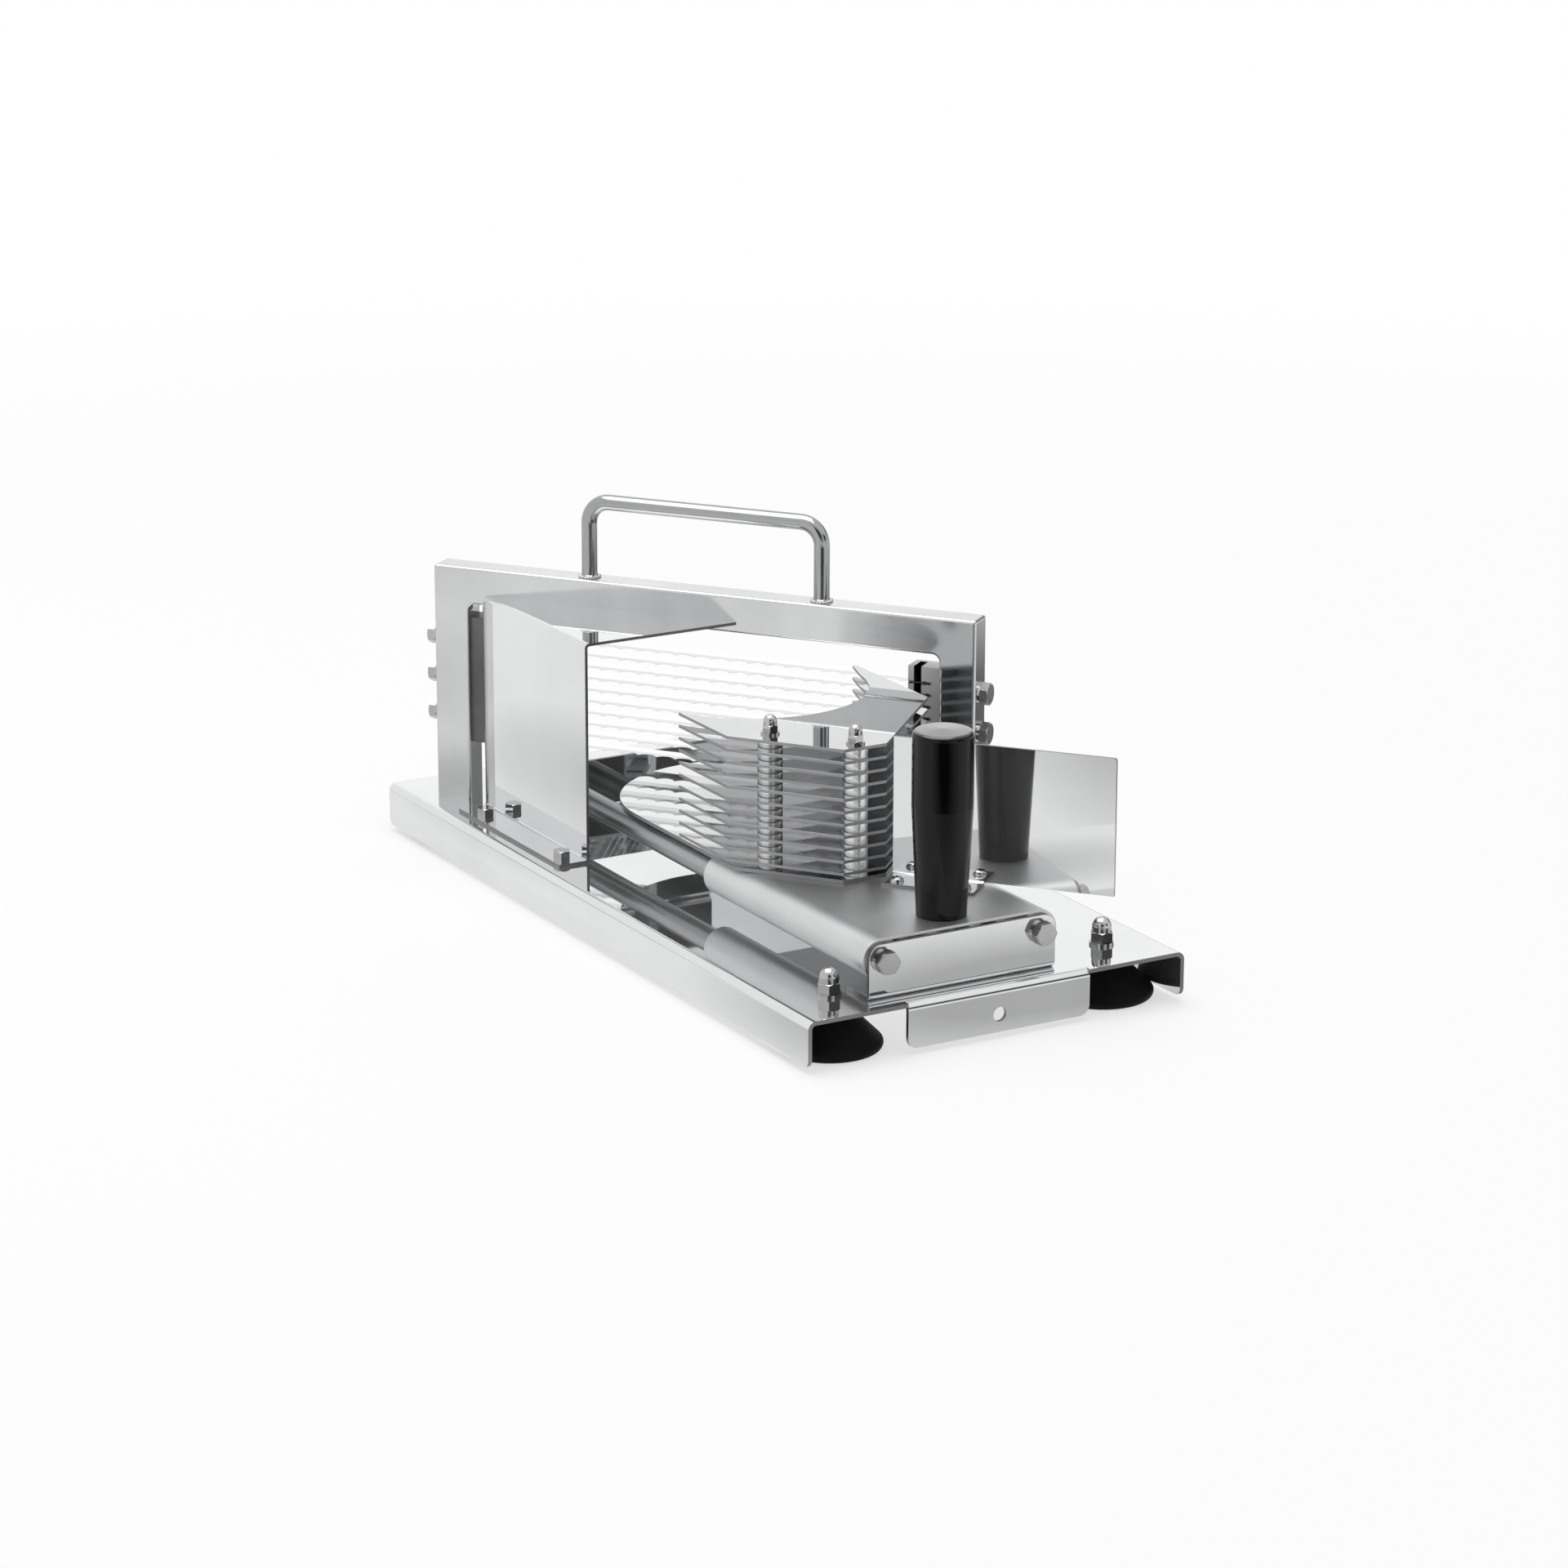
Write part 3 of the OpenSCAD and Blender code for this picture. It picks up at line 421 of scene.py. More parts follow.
print("steels of the small pieces:", [m.name for m in (block_steel, painted_shade_block, nut_steel, bolt_steel,
                                                       blade_steel, bevel_steel, weld_steel, spacer_steel)])

# %% [markdown]
# The grip is moulded in black phenolic and buffed: dark, glossy, with the faintest orange peel. The suction
# cups are soft rubber, matte and a little dusty. The bushes are natural nylon. Each is one plain colour
# that a noise breaks up slightly, because even a new moulding is never perfectly even.

# %% Mouldings
MOTTLE = 45.0
MOTTLE_TONES = (0.35, 0.75)
MOTTLE_DETAIL = (5.0, 0.6)
SKIN_DETAIL = (2.0, 0.5)
SHEEN_SPAN = (0.3, 0.7)


def moulding(name, colour, light, rough, grain, bump, gloss=0.5):
    """A moulded material: two close tones, uneven gloss and a fine skin."""
    made, tree, surface = fresh(name)
    surface.inputs["Specular IOR Level"].default_value = gloss
    where = step(tree, "ShaderNodeTexCoord").outputs["Object"]
    broad = noise(tree, where, MOTTLE, *MOTTLE_DETAIL)
    fine = noise(tree, where, grain, *SKIN_DETAIL)
    tone = tones(tree, broad, (MOTTLE_TONES[0], (*colour, 1)), (MOTTLE_TONES[1], (*light, 1)))
    dress(tree, surface, tone, ramp(tree, broad, *SHEEN_SPAN, *rough), fine, bump)
    return made


phenolic = moulding("black phenolic", (0.0015, 0.0015, 0.0015), (0.003, 0.003, 0.003), (0.03, 0.07),
                    700, 0.008, gloss=0.22)
rubber = moulding("black rubber", (0.003, 0.003, 0.003), (0.007, 0.007, 0.007), (0.5, 0.7),
                  2200, 0.15, gloss=0.08)
nylon = moulding("natural nylon", (0.72, 0.70, 0.64), (0.80, 0.78, 0.73), (0.35, 0.5), 1200, 0.05)
print("mouldings:", phenolic.name, rubber.name, nylon.name)

# %% [markdown]
# The grip's top end shines far more than its side, as the buffing wheel ran straight across it. It could be
# a separate cap with its own finish. A coat that starts at a height needs no seam.

# %% Buffed end of the grip
BUFF_DEPTH = 0.8 * MM
LACQUER_IOR = 1.8
LACQUER_ROUGH = 0.05


def buff_above(made, top):
    """A lacquered shine on the uppermost part of a moulding."""
    tree = made.node_tree
    surface = tree.nodes["Principled BSDF"]
    where = step(tree, "ShaderNodeTexCoord").outputs["Object"]
    height = step(tree, "ShaderNodeSeparateXYZ", {0: where}).outputs["Z"]
    share = ramp(tree, height, top - 2 * BUFF_DEPTH, top - BUFF_DEPTH)
    tree.links.new(share, surface.inputs["Coat Weight"])
    surface.inputs["Coat IOR"].default_value = LACQUER_IOR
    surface.inputs["Coat Roughness"].default_value = LACQUER_ROUGH


grip_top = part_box("grip")[1][2]
buff_above(phenolic, grip_top)
print("buffed above", round(grip_top - 2 * BUFF_DEPTH, 4))

# %% [markdown]
# A new piece has to move as its solid does: on the carriage or on the base. Which solid is on which body
# could be typed again for each piece; the record already knows it.

# %% A piece that stands for a solid
body_of_node = {n: body for body, nodes in frame["record"]["behaviour"]["bodies"].items() for n in nodes}


def settle(piece, node, *more_nodes):
    """The piece rides where the node does and stands for it."""
    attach(piece, body_of_node[node])
    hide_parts(node, *more_nodes)


def stand_in(name, mesh, node, *more_nodes):
    """A new piece with this mesh, settled in place of its solids."""
    piece = bpy.data.objects.new(name, mesh)
    scene.collection.objects.link(piece)
    settle(piece, node, *more_nodes)
    return piece


print("solids on the carriage:", sum(body == "carriage" for body in body_of_node.values()))

# %% [markdown]
# Where a sheet was cut, its edge is a narrow face as wide as the sheet is thick. The edges could be picked
# by hand; a rule finds them on every sheet: both long sides are sharp, and they lie one thickness apart.
# The large faces have to mirror without waves. So at each corner the large faces decide the direction in
# which the surface looks, and the narrow rounds beside them follow.

# %% Cut edges and flat faces
SHARP = math.radians(32)
CUT_ANGLE = math.radians(60)
CUT_SLACK = 1.2


def is_cut_edge(face, sheet_mm):
    """True for the narrow faces where the sheet was cut."""
    sharp = sum(e.calc_length() for e in face.edges if e.is_manifold and e.calc_face_angle() > CUT_ANGLE)
    return sharp > 0 and 2 * face.calc_area() / sharp < CUT_SLACK * sheet_mm * MM


def flat_stays_flat(mesh):
    """At each corner the big faces decide the normal, so that a sheet mirrors evenly and a fold stays smooth."""
    around = [[] for v in mesh.vertices]
    for face in mesh.polygons:
        for v in face.vertices:
            around[v].append((face.normal.copy(), face.area ** 2))
    normals = []
    for face in mesh.polygons:
        for v in face.vertices:
            near = [n * weight for n, weight in around[v] if n.dot(face.normal) > math.cos(SHARP)]
            normals.append(sum(near, Vector()).normalized())
    mesh.shade_smooth()
    mesh.normals_split_custom_set(normals)


print("an edge counts as cut above", round(math.degrees(CUT_ANGLE)), "degrees")

# %% [markdown]
# A solid's mesh is loose triangles, and a round can't run along edges that don't meet. So a copy is welded
# together, and triangles that lie in one plane are joined up into whole faces.

# %% Welded copy of a solid
FLAT = math.radians(0.6)
WELD_GAP = 0.002 * MM


def welded_copy(node, sheet_mm):
    """The solid's loose triangles merged into whole flat faces, with the cut edges marked."""
    work = bmesh.new()
    work.from_mesh(frame["nodes"][node].data)
    bmesh.ops.remove_doubles(work, verts=work.verts, dist=WELD_GAP)
    bmesh.ops.dissolve_limit(work, angle_limit=FLAT, verts=work.verts, edges=work.edges)
    for face in work.faces:
        face.material_index = int(is_cut_edge(face, sheet_mm))
    mesh = bpy.data.meshes.new(node + "_softened")
    work.to_mesh(mesh)
    work.free()
    return mesh


print("corners closer than", WELD_GAP / MM, "mm are welded")

# %% [markdown]
# Sheet metal is never razor sharp: deburring leaves a small round on every cut edge, and that round is what
# catches the light. It could be part of the solids, but there it would cost many faces. A Bevel modifier
# rounds the copy instead, and the copy then stands for the solid.

# %% Softening a solid
EDGE_STEPS = 2


def rounded(mesh, name, radius_mm):
    """A plain mesh like the one given, with its sharp edges rounded."""
    rough = bpy.data.objects.new(name + "_rough", mesh)
    scene.collection.objects.link(rough)
    bevel = rough.modifiers.new("edges", "BEVEL")
    bevel.width = radius_mm * MM
    bevel.segments = EDGE_STEPS
    bevel.limit_method = "ANGLE"
    bevel.angle_limit = SHARP
    bevel.miter_outer = "MITER_ARC"
    bevel.use_clamp_overlap = True
    smooth = bpy.data.meshes.new_from_object(rough.evaluated_get(bpy.context.evaluated_depsgraph_get()))
    bpy.data.objects.remove(rough)
    smooth.name = name
    return smooth


def soften(node, finish, radius_mm, sheet_mm=0, cut=edge_steel):
    """A welded copy of a solid with rounded edges, and on sheet metal a duller finish where it was cut."""
    mesh = welded_copy(node, sheet_mm)
    mesh.materials.append(finish)
    if sheet_mm:
        mesh.materials.append(cut)
    smooth = rounded(mesh, node + "_softened", radius_mm)
    flat_stays_flat(smooth)
    return stand_in(node + "_softened", smooth, node)


print("softened edges have", EDGE_STEPS, "steps")

# %% [markdown]
# Thick sheet gets a larger round than thin sheet, as a file takes more from it. One round for all would be
# simpler, but the pusher's plates need the smallest one, to keep their crisp sheared edges.

# %% Softened sheets and blocks
# Each solid with the round of its edges and the thickness of its sheet, in millimetres
mirror_sheets = [
    ("base_plate", 0.3, 2), ("front_bracket", 0.3, 2), ("rear_bracket", 0.3, 2),
    ("bed_plate", 0.25, 2), ("hand_guard", 0.2, 1.5), ("side_guard", 0.2, 1.5),
]
PLATES = 11
PLATE_MM = 1.5
HOLDER_ROUND_MM = 0.15
CARRIAGE_ROUND_MM = 0.2
PLATE_ROUND_MM = 0.1

softened = [soften(node, mirror_steel, radius, sheet) for node, radius, sheet in mirror_sheets]
# The left holder gets the darker copy of the block steel as painted shade
softened.append(soften("left_blade_holder", painted_shade_block, HOLDER_ROUND_MM))
softened.append(soften("right_blade_holder", block_steel, HOLDER_ROUND_MM))
softened.append(soften("carriage", blast_steel, CARRIAGE_ROUND_MM, PLATE_MM, cut=blast_steel))
for node in ["pusher_plate_%02d" % i for i in range(1, PLATES + 1)]:
    softened.append(soften(node, plate_steel, PLATE_ROUND_MM, PLATE_MM, cut=shear_steel))
print("softened:", len(softened), "faces:", sum(len(p.data.polygons) for p in softened))

# %% [markdown]
# The blade frame stands at a slant across the base. Measuring in the base's own directions would put a sine
# into every number, so from here on a point can be given along the frame, back into it and up.

# %% Directions of the frame
TUBE_W = 19 * MM
TUBE_D = 15 * MM
FRAME_ANGLE = math.radians(-52.5)
ALONG = Vector((math.cos(FRAME_ANGLE), math.sin(FRAME_ANGLE), 0))
BACKWARDS = Vector((-ALONG.y, ALONG.x, 0))
beam_low, beam_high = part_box("top_beam")
FRAME_START = Vector((beam_low[0], beam_high[1] - TUBE_D * BACKWARDS.y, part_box("left_post")[0][2]))
FRAME_L = (beam_high[0] - beam_low[0] - TUBE_D * BACKWARDS.x) / ALONG.x
FRAME_H = beam_high[2] - FRAME_START.z


def in_frame(along, deep, height):
    """A point measured along the frame, back into it and up from the base."""
    return FRAME_START + ALONG * along + BACKWARDS * deep + Vector((0, 0, height))


print("frame:", round(FRAME_L, 4), "long,", round(FRAME_H, 4), "high")

# %% [markdown]
# The blade frame is tube, cut at 45 degrees, welded, and then ground and polished until no joint shows. Its
# edges are round because tube is drawn, not cut. Three solids side by side would show two mitre lines, so
# here one outline is pushed back to the tube's depth and every edge that is not on the base is rounded.

# %% Outline of the frame
CORNER_FILLET = 4 * MM
FILLET_STEPS = 6


def corner_arc(centre, start):
    """A quarter turn of points for an inner corner."""
    turns = [math.radians(start + 90 * i / FILLET_STEPS) for i in range(FILLET_STEPS + 1)]
    return [(centre[0] + CORNER_FILLET * math.cos(t), centre[1] + CORNER_FILLET * math.sin(t)) for t in turns]


inset = TUBE_W + CORNER_FILLET
outline = [(0, 0), (0, FRAME_H), (FRAME_L, FRAME_H), (FRAME_L, 0), (FRAME_L - TUBE_W, 0)]
outline += corner_arc((FRAME_L - inset, FRAME_H - inset), 0)
outline += corner_arc((inset, FRAME_H - inset), 90)
outline += [(TUBE_W, 0)]
print("outline:", len(outline), "points")

# %% [markdown]
# The outline becomes a face, the face is pushed back, and its edges are rounded. A Bevel modifier could do
# that too, with weights on the edges. The edges that stand on the base stay sharp, and a plain list leaves
# them out.

# %% Welded frame
TUBE_ROUND = 1.6 * MM
TUBE_STEPS = 5
HAIR = 0.001 * MM


def welded_frame():
    """The two posts and the beam as one piece with rounded edges."""
    work = bmesh.new()
    front = work.faces.new([work.verts.new(in_frame(a, 0, h)) for a, h in outline])
    pushed = bmesh.ops.extrude_face_region(work, geom=[front], use_keep_orig=True)
    for v in [g for g in pushed["geom"] if isinstance(g, bmesh.types.BMVert)]:
        v.co += BACKWARDS * TUBE_D
    bmesh.ops.recalc_face_normals(work, faces=work.faces)
    above = FRAME_START.z + HAIR
    round_these = [e for e in work.edges
                   if e.calc_face_angle(0) > SHARP and max(v.co.z for v in e.verts) > above]
    bmesh.ops.bevel(work, geom=round_these, offset=TUBE_ROUND, segments=TUBE_STEPS, profile=0.5,
                    affect="EDGES", clamp_overlap=True)
    mesh = bpy.data.meshes.new("welded_frame")
    work.to_mesh(mesh)
    work.free()
    mesh.materials.append(tube_steel)
    flat_stays_flat(mesh)
    return stand_in("welded_frame", mesh, "top_beam", "left_post", "right_post")


tube_frame = welded_frame()
print("welded frame:", len(tube_frame.data.polygons), "faces")

# %% [markdown]
# Geometry Nodes are a good way to make what repeats. A tree is a recipe with named sizes; here it is built
# in the script, run once on an empty mesh, and its result is kept as an ordinary mesh.

# %% Recipes in Geometry Nodes


def recipe(name, sizes):
    """A new tree with one named input for each size."""
    kinds = {int: "NodeSocketInt", float: "NodeSocketFloat", Vector: "NodeSocketVector",
             bpy.types.Material: "NodeSocketMaterial"}
    tree = bpy.data.node_groups.new(name, "GeometryNodeTree")
    for label, value in sizes.items():
        tree.interface.new_socket(label, in_out="INPUT", socket_type=kinds[type(value)])
    tree.interface.new_socket("Geometry", in_out="OUTPUT", socket_type="NodeSocketGeometry")
    return tree, tree.nodes.new("NodeGroupInput").outputs


def bake(name, tree, sizes, last):
    """Run a finished tree once and keep what it made as a plain mesh."""
    tree.links.new(last, tree.nodes.new("NodeGroupOutput").inputs[0])
    piece = bpy.data.objects.new(name, bpy.data.meshes.new(name))
    scene.collection.objects.link(piece)
    run = piece.modifiers.new("recipe", "NODES")
    run.node_group = tree
    for item in tree.interface.items_tree:
        if item.in_out == "INPUT":
            run[item.identifier] = sizes[item.name]
    made = bpy.data.meshes.new_from_object(piece.evaluated_get(bpy.context.evaluated_depsgraph_get()))
    piece.modifiers.remove(run)
    piece.data = made
    made.name = name
    for empty in [i for i, m in enumerate(made.materials) if m is None][::-1]:
        made.materials.pop(index=empty)
    return piece


print("recipe helpers ready")

# %% [markdown]
# The recipes below share a few moves, such as setting a point or joining shapes. Each could be wired again
# every time; a name for each keeps the recipes short.

# %% Points and joints


def point(tree, **axes):
    """A point from its X, Y and Z; what isn't given is 0."""
    return out_of(tree, "ShaderNodeCombineXYZ", axes)


def position(tree):
    """The X, Y and Z of the point in hand."""
    return step(tree, "ShaderNodeSeparateXYZ", {0: out_of(tree, "GeometryNodeInputPosition")}).outputs


def joined(tree, *shapes):
    """Several shapes as one."""
    made = step(tree, "GeometryNodeJoinGeometry")
    for shape in shapes:
        tree.links.new(shape, made.inputs[0])
    return made.outputs[0]


print("points and joints ready")

# %% [markdown]
# Blades and spacers are stacked upwards, and spacers and welds come in pairs. The copies are instances,
# which are light. In the end they are made real, because another program that opens the slicer would drop
# them.

# %% Stacks and pairs


def stacked(tree, shape, count, pitch, start=(0, 0, 0)):
    """Copies of a shape, one above the other."""
    spots = {"Count": count, "Start Location": start, "Offset": point(tree, Z=pitch)}
    ladder = out_of(tree, "GeometryNodeMeshLine", spots, mode="OFFSET")
    return out_of(tree, "GeometryNodeInstanceOnPoints", {"Points": ladder, "Instance": shape})


def pair_of(tree, shape, to_next):
    """The same shape twice: where it is, and one step further."""
    ends = out_of(tree, "GeometryNodeMeshLine", {"Count": 2, "Offset": to_next}, mode="OFFSET")
    whole = out_of(tree, "GeometryNodeGeometryToInstance", {0: shape})
    return out_of(tree, "GeometryNodeInstanceOnPoints", {"Points": ends, "Instance": whole})


def real_and_coated(tree, copies, finish):
    """Copies made real, shaded smooth and given their finish."""
    real = out_of(tree, "GeometryNodeRealizeInstances", {"Geometry": copies})
    smooth = out_of(tree, "GeometryNodeSetShadeSmooth", {"Geometry": real})
    return out_of(tree, "GeometryNodeSetMaterial", {"Geometry": smooth, "Material": finish})


print("stacks and pairs ready")

# %% [markdown]
# Ten blades cut the tomato into eleven slices. Each is a strip of spring steel. A round wheel ground a row
# of hollows into its front edge, and a bevel on both sides runs from the hollows back to a straight line.
# The blades could be cut out with a curve, but a rule is shorter: the distance from a hollow's middle says
# how deep the wheel went.

# %% Sizes of the blades
blade_low, blade_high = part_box("blade_01")
next_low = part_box("blade_02")[0]
BLADE_W = 11 * MM
BLADE_L = (blade_high[0] - blade_low[0] - BLADE_W * BACKWARDS.x) / ALONG.x
HOLLOW = 10 * MM
HOLLOW_DEPTH = 2.7 * MM
CUSP = 0.6 * MM
half = (HOLLOW - CUSP) / 2
blade_sizes = {
    "Length": float(BLADE_L), "Depth": BLADE_W, "Thickness": float(blade_high[2] - blade_low[2]),
    "Hollow Width": HOLLOW, "Hollow Depth": HOLLOW_DEPTH,
    "Wheel Radius": (half * half + HOLLOW_DEPTH ** 2) / (2 * HOLLOW_DEPTH), "Hollows": 21,
    "Grind Width": 5.2 * MM, "Edge Share": 0.15, "Blades": 10,
    "Pitch": float(next_low[2] - blade_low[2]), "Steps": 481,
    "Blade Finish": blade_steel, "Ground Finish": bevel_steel,
}
print("blade:", round(BLADE_L / MM, 1), "mm long, wheel radius", round(blade_sizes["Wheel Radius"] / MM, 2), "mm")

# %% [markdown]
# The strip starts as a grid with three rows of points: the cutting edge, the line where the grinding ends,
# and the back. Each row needs a rule of its own, so three factors say on which row a point is. The factor
# of the edge is kept with the mesh, because the points move later and the bevel still needs it.

# %% Strip of three rows
tree, size = recipe("blade set", blade_sizes)
strip = out_of(tree, "GeometryNodeMeshGrid", {"Size X": size["Length"], "Size Y": size["Depth"],
                                              "Vertices X": size["Steps"], "Vertices Y": 3})
place = position(tree)
row = reckon(tree, "ADD", reckon(tree, "DIVIDE", place["Y"], size["Depth"]), 0.5)
on_edge = reckon(tree, "MAXIMUM", reckon(tree, "MULTIPLY_ADD", row, -2.0, 1.0))
on_back = reckon(tree, "MAXIMUM", reckon(tree, "MULTIPLY_ADD", row, 2.0, -1.0))
on_grind = reckon(tree, "SUBTRACT", reckon(tree, "SUBTRACT", 1.0, on_edge), on_back)
keep = step(tree, "GeometryNodeCaptureAttribute", {"Geometry": strip})
keep.capture_items.new("FLOAT", "edge")
tree.links.new(on_edge, keep.inputs[1])
edge = keep.outputs[1]
print("strip:", len(tree.nodes), "nodes so far")

# %% [markdown]
# Each hollow is an arc of the grinding wheel. Along the blade the distance to the nearest hollow's middle
# comes round again and again, which Wrap does, and the circle's own formula gives the depth. Towards both
# ends, where the holders grip the blade, the edge stays straight.

# %% Hollows
reach = reckon(tree, "MULTIPLY", size["Hollow Width"], 0.5)
off_middle = reckon(tree, "WRAP", place["X"], reach, reckon(tree, "MULTIPLY", reach, -1.0))
chord = reckon(tree, "SUBTRACT", reckon(tree, "POWER", size["Wheel Radius"], 2.0),
               reckon(tree, "POWER", off_middle, 2.0))
dip = reckon(tree, "SUBTRACT", reckon(tree, "SQRT", reckon(tree, "MAXIMUM", chord)),
             reckon(tree, "SUBTRACT", size["Wheel Radius"], size["Hollow Depth"]))
ground = reckon(tree, "LESS_THAN", reckon(tree, "ABSOLUTE", place["X"]),
                reckon(tree, "MULTIPLY", reach, size["Hollows"]))
scoop = reckon(tree, "MULTIPLY", reckon(tree, "MAXIMUM", dip), ground)
grind_y = reckon(tree, "MULTIPLY_ADD", on_grind, size["Grind Width"], reckon(tree, "MULTIPLY", on_edge, scoop))
new_y = reckon(tree, "MULTIPLY_ADD", on_back, size["Depth"], grind_y)
new_x = reckon(tree, "MULTIPLY_ADD", size["Length"], 0.5, place["X"])
shaped = out_of(tree, "GeometryNodeSetPosition", {"Geometry": keep.outputs[0],
                                                  "Position": point(tree, X=new_x, Y=new_y)})
print("hollows:", blade_sizes["Hollows"], "on each blade")

# %% [markdown]
# The flat strip is raised to the blade's thickness and closed underneath. Then the edge is thinned from
# both sides, as on a whetstone, to a small share of that thickness. A Solidify modifier could raise the
# strip, but the thinning needs the factor of the edge, which the recipe has at hand.

# %% Thickness and bevel
raised = out_of(tree, "GeometryNodeExtrudeMesh", {"Mesh": shaped, "Offset Scale": size["Thickness"],
                                                  "Individual": False}, mode="FACES")
under = out_of(tree, "GeometryNodeFlipFaces", {"Mesh": shaped})
whole = out_of(tree, "GeometryNodeMergeByDistance", {"Geometry": joined(tree, raised, under), "Distance": HAIR})
now = position(tree)
middle = reckon(tree, "MULTIPLY", size["Thickness"], 0.5)
taken = reckon(tree, "MULTIPLY", edge, reckon(tree, "SUBTRACT", 1.0, size["Edge Share"]))
thin = reckon(tree, "SUBTRACT", 1.0, taken)
new_z = reckon(tree, "MULTIPLY_ADD", reckon(tree, "SUBTRACT", now["Z"], middle), thin, middle)
honed = out_of(tree, "GeometryNodeSetPosition", {"Geometry": whole,
                                                 "Position": point(tree, X=now["X"], Y=now["Y"], Z=new_z)})
print("edge:", blade_sizes["Edge Share"], "of the thickness")

# %% [markdown]
# One blade is copied upwards ten times. The ground faces get their own finish, because a bevel catches the
# light in another way than the flat of the blade. Then the set is turned into the frame.

# %% Blade set
BEVEL_FROM = 0.3
BLADE_DEEP = 3.5 * MM
copies = stacked(tree, honed, size["Blades"], size["Pitch"])
real = out_of(tree, "GeometryNodeRealizeInstances", {"Geometry": copies})
coated = out_of(tree, "GeometryNodeSetMaterial", {"Geometry": real, "Material": size["Blade Finish"]})
near_edge = reckon(tree, "GREATER_THAN", edge, BEVEL_FROM)
coated = out_of(tree, "GeometryNodeSetMaterial", {"Geometry": coated, "Selection": near_edge,
                                                  "Material": size["Ground Finish"]})
blades = bake("blade_set", tree, blade_sizes, coated)
blade_start = in_frame((FRAME_L - BLADE_L) / 2, BLADE_DEEP, blade_low[2] - FRAME_START.z)
blades.data.transform(Matrix.Translation(blade_start) @ Matrix.Rotation(FRAME_ANGLE, 4, "Z"))
settle(blades, *["blade_%02d" % i for i in range(1, blade_sizes["Blades"] + 1)])
print("blades:", len(blades.data.polygons), "faces, materials:", [m.name for m in blades.data.materials])

# %% [markdown]
# Dark rims round the slots that hold the blades are painted shade, where the blades go into the holder. The rims
# could be painted by hand; here they follow the blades' own heights, and end where the blades end. A noise makes
# their edge a little uneven.

# %% Painted shade round the blade slots
SLOT_RIM = (0.5 * MM, 1.1 * MM)
RIM_END = (1.0 * MM, 3.0 * MM)
RIM_UNEVENNESS = 0.9 * MM
RIM_UNEVENNESS_GRAIN = 900.0


def measured(tree, where, direction):
    """How far a point lies along a direction."""
    return step(tree, "ShaderNodeVectorMath", {0: where, 1: direction}, operation="DOT_PRODUCT").outputs["Value"]


def slot_rims(tree, where):
    """A factor of 1 round every blade's height, as far along the frame as the blades reach."""
    pitch = blade_sizes["Pitch"]
    lowest = (blade_low[2] + blade_high[2]) / 2
    height = step(tree, "ShaderNodeSeparateXYZ", {0: where}).outputs["Z"]
    off = reckon(tree, "WRAP", reckon(tree, "SUBTRACT", height, lowest), pitch / 2, -pitch / 2)
    uneven = reckon(tree, "MULTIPLY_ADD", noise(tree, where, RIM_UNEVENNESS_GRAIN, *LINE_DETAIL), -2 * RIM_UNEVENNESS, RIM_UNEVENNESS)
    rim = ramp(tree, reckon(tree, "ADD", reckon(tree, "ABSOLUTE", off), uneven), *SLOT_RIM, 1, 0)
    under_top = reckon(tree, "LESS_THAN", height, lowest + pitch * (blade_sizes["Blades"] - 0.5))
    blade_end = FRAME_START.dot(ALONG) + (FRAME_L + BLADE_L) / 2
    inside = ramp(tree, measured(tree, where, ALONG), blade_end + RIM_END[0], blade_end + RIM_END[1], 1, 0)
    return reckon(tree, "MULTIPLY", reckon(tree, "MULTIPLY", rim, inside), under_top)


print("rims at", blade_sizes["Blades"], "slots")

# %% [markdown]
# The upright groove for the blade pin is painted as dark as the slots: painted shade in the recess. Its place
# comes from the pin. Both marks of painted shade are mixed into the milled steel, which only the right holder
# has.

# %% Painted shade in the groove and the slots
PIN_R = 1.3 * MM
GROOVE = (1.75 * MM, 2.2 * MM)
# Near-black colour of the painted shade in the slots and the groove
SLOT_SHADE_COLOUR = (0.012, 0.012, 0.012, 1)


def pin_groove(tree, where):
    """A factor of 1 in the groove of the right pin, from the holder's front to just behind the pin."""
    pin_low, pin_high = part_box("blade_pins")
    pin = Vector((pin_high[0] - PIN_R, pin_low[1] + PIN_R, 0))
    beside = reckon(tree, "ABSOLUTE", reckon(tree, "SUBTRACT", measured(tree, where, ALONG), pin.dot(ALONG)))
    in_front = reckon(tree, "LESS_THAN", measured(tree, where, BACKWARDS), pin.dot(BACKWARDS) + GROOVE[1])
    return reckon(tree, "MULTIPLY", ramp(tree, beside, *GROOVE, 1, 0), in_front)


tree = block_steel.node_tree
base_colour = tree.nodes["Principled BSDF"].inputs["Base Color"]
clean = base_colour.links[0].from_socket
where = step(tree, "ShaderNodeTexCoord").outputs["Object"]
# The painted shade of the slots and the groove darkens the milled steel's colour towards near black
painted_slot_shade = reckon(tree, "MAXIMUM", slot_rims(tree, where), pin_groove(tree, where))
tree.links.new(out_of(tree, "ShaderNodeMixRGB", {0: painted_slot_shade, 1: clean, 2: SLOT_SHADE_COLOUR}), base_colour)
print("oiled:", block_steel.name, "with", len(tree.nodes), "nodes")

# %% [markdown]
# The pusher's plates are held apart by turned rings on two studs. A ring could be lathed point by point;
# here a small rounded rectangle is swept round a circle, stacked ten times, and the stack is set down at
# both studs.

